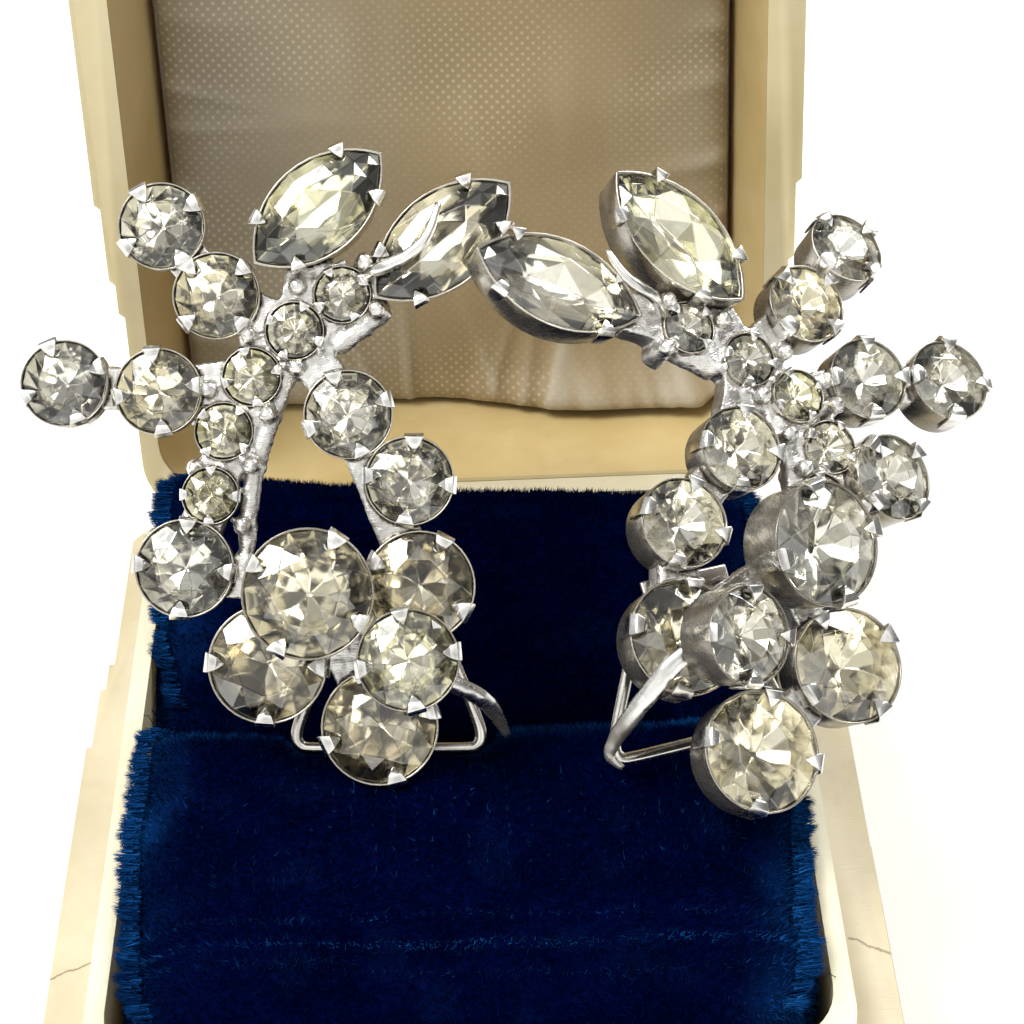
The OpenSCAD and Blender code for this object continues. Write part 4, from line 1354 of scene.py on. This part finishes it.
def makeHoop(side, place, facts):
    corner, wire = facts["corner"], facts["wire"] / 2
    root, out, end = facts["rootHalf"] - wire, facts["hoopHalf"] - wire, -facts["hoopLength"]
    half = [(root, facts["rootUp"] - 0.1), (root + 0.02, -0.2), (root + 0.5, -1.6),
            (out - 0.15, end + corner + 1.2), (out + 0.02, end + corner + 0.1), (out - 0.3, end + wire + 0.08),
            (out - corner, end + wire), (0, end + wire)]
    path = [(x, y, 0, wire) for x, y in half] + [(-x, y, 0, wire) for x, y in reversed(half[:-1])]
    obj = tube(path, 16, 6)
    points = vertices(obj)
    points[:, 2] *= facts["thick"] / facts["wire"]
    points += pointNormals(obj) * (ripple(points, 0.7, 7.0) * 0.02)[:, None]
    setVertices(obj, points)
    parts = [obj]
    loop, loopWire = facts["eye"]
    for flank in (-1, 1):
        eye = primitive("torus", major_radius=loop, minor_radius=loopWire, major_segments=28, minor_segments=10)
        eye.data.transform(Matrix.Translation((flank * root, 0, 0)) @ turned(0, 90, 0))
        pin = barrel(facts["pin"], facts["pinLength"], flank * (root - facts["pinLength"] / 2), 0, 0, 24)
        bevelSharp(pin, 0.08, 3, 40)
        parts += [eye, pin]
    obj = join(parts, f"{side}_hoop")
    smoothAll(obj)
    paint(obj, clipMetal)
    stainAndShade(obj, -0.35)
    settle(obj, f"{side}_hoop", place, f"{side}_clip", [f"{side}_clip_hoop"])


def makeBracket(side, place, facts):
    thick, wide = facts["ear"]
    narrower, plateThick = facts["plate"]
    earX = facts["rootHalf"] - facts["wire"] - thick / 2 - 0.1
    earTop = 0.35 + facts["earTall"] / 2
    parts = []
    for flank in (-1, 1):
        ear = cuboid((thick, wide, facts["earTall"]), (flank * earX, 0, 0.35))
        cutWith(ear, barrel(facts["bore"], thick + 1, flank * earX, 0, 0, 28))
        parts.append(ear)
    plate = (2 * facts["rootHalf"] - narrower, 2 * wide, plateThick)
    parts.append(cuboid(plate, (0, 0, earTop - plateThick / 2)))
    for part in parts:
        bevelSharp(part, 0.12, 3, 40)
    obj = join(parts, f"{side}_bracket")
    smoothByAngle(obj, 40)
    paint(obj, clipMetal)
    stainAndShade(obj, 0.1)
    settle(obj, f"{side}_bracket", place, "box_and_earrings", [f"{side}_clip_bracket"])


makeHoop("left", leftFrame @ leftPivot, clip)
makeHoop("right", rightFrame @ rightPivot @ turned(16, 0, 0), clip)
makeBracket("left", leftFrame @ leftPivot, clip)
makeBracket("right", rightFrame @ rightPivot, clip)
paint(nodes["hinge_pin"], pinMetal)
print("clips done")


# Velvet pads, swollen as cloth from their solids on an enlarged copy, then covered in pile

pads = {
    "enlarge": 12.0,  # the cloth solver works at cushion size
    "voxel": 0.62,
    "frames": 20,
    "pressure": 4.0,
    "mass": 0.3,
    "quality": 4,
    "cap": 0.75,  # the most that the cloth may swell
    "sideLimit": 20.75,
    "yLimits": {"pad_front": (-25.4, 2.8), "pad_rear": (4.7, 25.4)},
    "floor": 2.05,
    "fibres": {"pad_front": 62000, "pad_rear": 48000},
    "seed": {"pad_front": 5, "pad_rear": 6},
    "fibreLength": (0.28, 0.62),
    "fibreWidth": (0.035, 0.06),
    "rows": ((-17.8, 0.1), (-19.5, 0.14), (-20.9, 0.06)),  # where the front pad's pile parts, and how deep
    "lighterPile": (  # x, y, half the length and the strength of each spot of lighter pile
        (-20.3, -8.0, 3.4, 0.9),
        (-19.6, 11.5, 2.6, 0.6),
        (19.8, -15.0, 3.6, 0.9),
        (18.6, -22.5, 2.4, 0.8),
    ),
    # The front pad draws in: at these y, by this much
    "narrower": ((-25.4, -17.0, -9.0, -3.0, 2.8), (1.6, 0.9, 0.15, 0.3, 1.0)),
    "rearLift": (2.0, 0.1, 3.5),  # the rear pad stands higher at its back: middle, more towards the left, most
    "tuftPitch": 0.7,
    "tuftFibres": 100,
    "tuftReach": (0.15, 0.75),
    "strays": [[(-20.7, 3.4, 22.3), (-20.3, 2.6, 22.8), (-19.9, 2.0, 22.7), (-19.3, 1.4, 22.9)],
               [(-20.2, 3.7, 22.3), (-19.9, 2.8, 22.7), (-19.4, 2.2, 22.9)],
               [(20.2, -21.3, 22.3), (20.6, -21.0, 22.5), (21.0, -21.1, 22.3)]],
}


def swell(obj, facts):
    # Cloth with pressure, no gravity, on a copy as large as a cushion
    big = copyOf(obj, Matrix.Scale(facts["enlarge"] * 0.001, 4))
    rest = vertices(big)
    activate(big)
    cloth = big.modifiers.new("cloth", "CLOTH")
    cloth.settings.quality, cloth.settings.mass = facts["quality"], facts["mass"]
    cloth.settings.use_pressure = True
    cloth.settings.uniform_pressure_force = facts["pressure"]
    cloth.settings.effector_weights.gravity = 0
    cloth.collision_settings.use_collision = False
    cloth.point_cache.frame_start, cloth.point_cache.frame_end = 1, facts["frames"]
    scene = bpy.context.scene
    for frameNumber in range(1, facts["frames"] + 1):
        scene.frame_set(frameNumber)
    activate(big)
    bpy.ops.object.modifier_apply(modifier="cloth")
    scene.frame_set(1)
    moved = vertices(big) - rest
    drop(big)
    moved *= 1000 / facts["enlarge"]
    far = np.linalg.norm(moved, axis=1, keepdims=True)
    moved *= np.minimum(1, facts["cap"] / np.maximum(far, 1e-9))
    setVertices(obj, vertices(obj) + moved)


def keepInBox(points, name, facts):
    x, y, z = points.T
    x = np.clip(x, -facts["sideLimit"], facts["sideLimit"])
    return np.column_stack([x, np.clip(y, *facts["yLimits"][name]), np.maximum(z, facts["floor"])])


def rowWander(x, row):
    # How far a parted row strays from straight; the rows also slant a little
    return ripple(np.column_stack([x * 0.3, 0 * x + row, 0 * x]), 0.4, row) * 0.5 - x * 0.022


def weaveShine(points, facts):
    # Small ticks of lighter pile in the parted rows, and faint columns of them behind
    x, y = points.T[:2]
    shine = np.zeros(len(points))
    for row, depth in facts["rows"]:
        tick = np.sin(2 * math.pi * (x + 0.3 * y) / 0.55) * 0.5 + 0.5 if depth < 0.12 else 0.75
        broken = np.clip(ripple(points, 0.6, row) + 0.8, 0.3, 1)
        shine += 11 * depth * tick * broken * np.exp(-((y - row - rowWander(x, row) - 0.35) / 0.2) ** 2)
    column = np.clip(np.sin(2 * math.pi * (x + ripple(points, 0.15, 7.0) * 0.4) / 1.15), 0, 1) ** 8
    dash = np.clip(np.sin(2 * math.pi * y / 0.7), 0, 1)
    return shine + 0.9 * column * dash * np.clip((y + 16) / 3, 0, 1) * np.clip((-3 - y) / 5, 0, 1)


def shapePad(points, normals, name, facts):
    x, y, z = points.T
    slow = ripple(points, 0.16, 1.0) * 0.34 + ripple(points, 0.5, 6.0) * 0.12
    if name == "pad_front":
        for row, depth in facts["rows"]:
            slow -= depth * np.exp(-((y - row - rowWander(x, row)) / 0.3) ** 2)
    points = points + normals * slow[:, None]
    if name == "pad_front":
        points[:, 0] *= 1 - np.interp(y, *facts["narrower"]) / facts["sideLimit"]
    else:
        middle, slant, most = facts["rearLift"]
        lift = np.clip(middle - slant * x, 0, most) * smoothStep(np.clip((y - 10) / 12, 0, 1))
        points[:, 2] += lift * np.clip((z - 8) / 12, 0, 1)
    return keepInBox(points, name, facts)


def wearAndSheenShare(points, name, facts):
    # How much lighter the pile is drawn: worn in random patches, painted sheen along the side edges and on the front
    # pad's crest by the slot, and a few lighter spots
    x, y, z = points.T
    edge = np.exp(-(facts["sideLimit"] - np.abs(x)) / 1.6)
    if name == "pad_front":
        edge = np.maximum(edge, np.exp(-((y - 0.05) / 1.5) ** 2) * (z > 21))
    patch = np.clip(ripple(points, 0.3, 8.0) * 1.6 + 0.3, 0, 1)
    rub = edge * (0.3 + patch * 0.55) + np.clip(patch - 0.6, 0, 1) * 0.15
    for spotX, spotY, reach, strength in facts["lighterPile"]:
        rub += strength * (0.5 + 0.5 * patch) * np.exp(-((x - spotX) / 2.0) ** 2 - ((y - spotY) / reach) ** 2)
    return np.clip(rub, 0, 1)


def makePad(name, facts):
    obj = copyOf(nodes[name], Matrix.Scale(1000, 4))
    for key in [k for k in obj.keys() if k.startswith("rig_")]:
        del obj[key]
    obj.parent = None
    obj.name = name + "_cloth"
    obj.hide_render = obj.hide_viewport = False
    mendNormals(obj, 0.01)
    applyModifier(obj, "REMESH", mode="VOXEL", voxel_size=facts["voxel"], adaptivity=0.0)
    applyModifier(obj, "SMOOTH", factor=0.5, iterations=6)
    swell(obj, facts)
    applyModifier(obj, "SUBSURF", levels=1, render_levels=1)
    setVertices(obj, shapePad(vertices(obj), pointNormals(obj), name, facts))
    smoothAll(obj)
    points, normals = vertices(obj), pointNormals(obj)
    rub = wearAndSheenShare(points, name, facts)
    storeValue(obj, "rub", rub)
    paint(obj, velvetCloth)
    pile = growPile(name, points, normals, rub, facts)
    settle(obj, name + "_velvet", identity, "box_and_earrings", [name])
    settle(pile, name + "_pile", identity, "box_and_earrings")
    print(name, "faces:", len(obj.data.polygons), "fibres:", facts["fibres"][name])


def blades(start, tip, width, rng):
    across = np.cross(tip - start, rng.normal(0, 1, start.shape))
    across *= width / np.linalg.norm(across, axis=1, keepdims=True)
    return np.stack([start - across, start + across, tip], axis=1)


def growTufts(points, rub, rng, facts):
    # Tufts that hang over the box's lip along both sides
    pieces, tuftWearAndSheen = [], []
    x, y, z = points.T
    top = (np.abs(x) > facts["sideLimit"] - 2.9) & (z > 20)
    for side in (-1, 1):
        rim = top & (x * side > 0)
        places = np.arange(y[rim].min() + 0.5, y[rim].max() - 0.3, facts["tuftPitch"])
        for place in places + rng.uniform(-0.25, 0.25, len(places)):
            near = rim & (np.abs(y - place) < 0.8)
            if not near.any():
                continue
            height, reachOut = z[near].max() - 0.25, np.abs(x[near]).max()
            count = facts["tuftFibres"]
            reach, lean = rng.uniform(*facts["tuftReach"]), rng.uniform(-0.3, 0.3)
            spread = rng.uniform(-0.55, 0.55, count)
            start = np.column_stack([side * (reachOut - rng.uniform(0.2, 1.1, count)),
                                     place + spread * 0.8, height + rng.uniform(-0.5, 0.1, count)])
            out = reach * (1 - (spread / 0.6) ** 2) * rng.uniform(0.75, 1.05, count)
            tip = np.column_stack([side * (reachOut + out), place + spread + lean * 0.6,
                                   height + rng.uniform(-0.45, 0.25, count)])
            pieces.append(blades(start, tip, rng.uniform(*facts["fibreWidth"], (count, 1)), rng))
            # Tufts are drawn lighter than the pile beside them, as painted sheen where they hang over the lip
            tuftWearAndSheen.append(np.full(count, np.clip(rub[near].mean() + rng.uniform(0.1, 0.5), 0, 1)))
    return np.concatenate(pieces), np.concatenate(tuftWearAndSheen)


def layStrays(rng, facts):
    # Loose threads lying on the edge of the velvet
    pieces = []
    for path in facts["strays"]:
        path = np.array(path)
        at = np.linspace(0, len(path) - 1, 40)
        run = np.column_stack([np.interp(at, np.arange(len(path)), path[:, k]) for k in range(3)])
        run += np.column_stack([ripple(run, 2.0, 3.0 + k) for k in range(3)]) * 0.15
        for _ in range(4):
            pieces.append(blades(run[:-1], run[1:] + (run[1:] - run[:-1]) * 0.6, 0.035, rng))
    pieces = np.concatenate(pieces)
    return pieces, np.zeros(len(pieces))


def growPile(name, points, normals, rub, facts):
    rng = np.random.default_rng(facts["seed"][name])
    shown = np.flatnonzero((points[:, 2] > 17.5) & (normals[:, 2] > -0.25))
    count = facts["fibres"][name]
    roots = rng.choice(shown, count)
    jitter = rng.normal(0, 0.16, (count, 3))
    normal = normals[roots]
    jitter -= normal * np.sum(jitter * normal, axis=1, keepdims=True)
    start = points[roots] + jitter - normal * 0.05
    lay = np.column_stack([ripple(points[roots], 0.25, 1.5), ripple(points[roots], 0.25, 4.5), np.zeros(count)])
    direction = normal + lay * 0.9 + rng.normal(0, 0.35, (count, 3)) + np.array([0, -0.15, 0])
    direction /= np.linalg.norm(direction, axis=1, keepdims=True)
    across = np.cross(direction, rng.normal(0, 1, (count, 3)))
    across /= np.linalg.norm(across, axis=1, keepdims=True)
    length = rng.uniform(*facts["fibreLength"], (count, 1))
    width = rng.uniform(*facts["fibreWidth"], (count, 1))
    shine = weaveShine(start, facts) if name == "pad_front" else 0
    fibres = np.stack([start - across * width, start + across * width, start + direction * length], axis=1)
    groups = [(fibres, np.clip(rub[roots] + shine, 0, 1)), growTufts(points, rub, rng, facts)]
    if name == "pad_front":
        groups.append(layStrays(rng, facts))
    corners, lighterPile = (np.concatenate(column) for column in zip(*groups))
    count = len(corners)
    mesh = bpy.data.meshes.new(name + "_pile")
    mesh.from_pydata(corners.reshape(-1, 3).tolist(), [], np.arange(count * 3).reshape(-1, 3).tolist())
    obj = bpy.data.objects.new(name + "_pile", mesh)
    bpy.context.collection.objects.link(obj)
    tone = np.clip(rng.normal(0.42, 0.28, count), 0, 1)
    storeValue(obj, "shade", np.repeat(tone, 3))
    storeValue(obj, "rub", np.repeat(lighterPile, 3))
    paint(obj, velvetPile)
    return obj


makePad("pad_front", pads)
makePad("pad_rear", pads)
print("pads done")
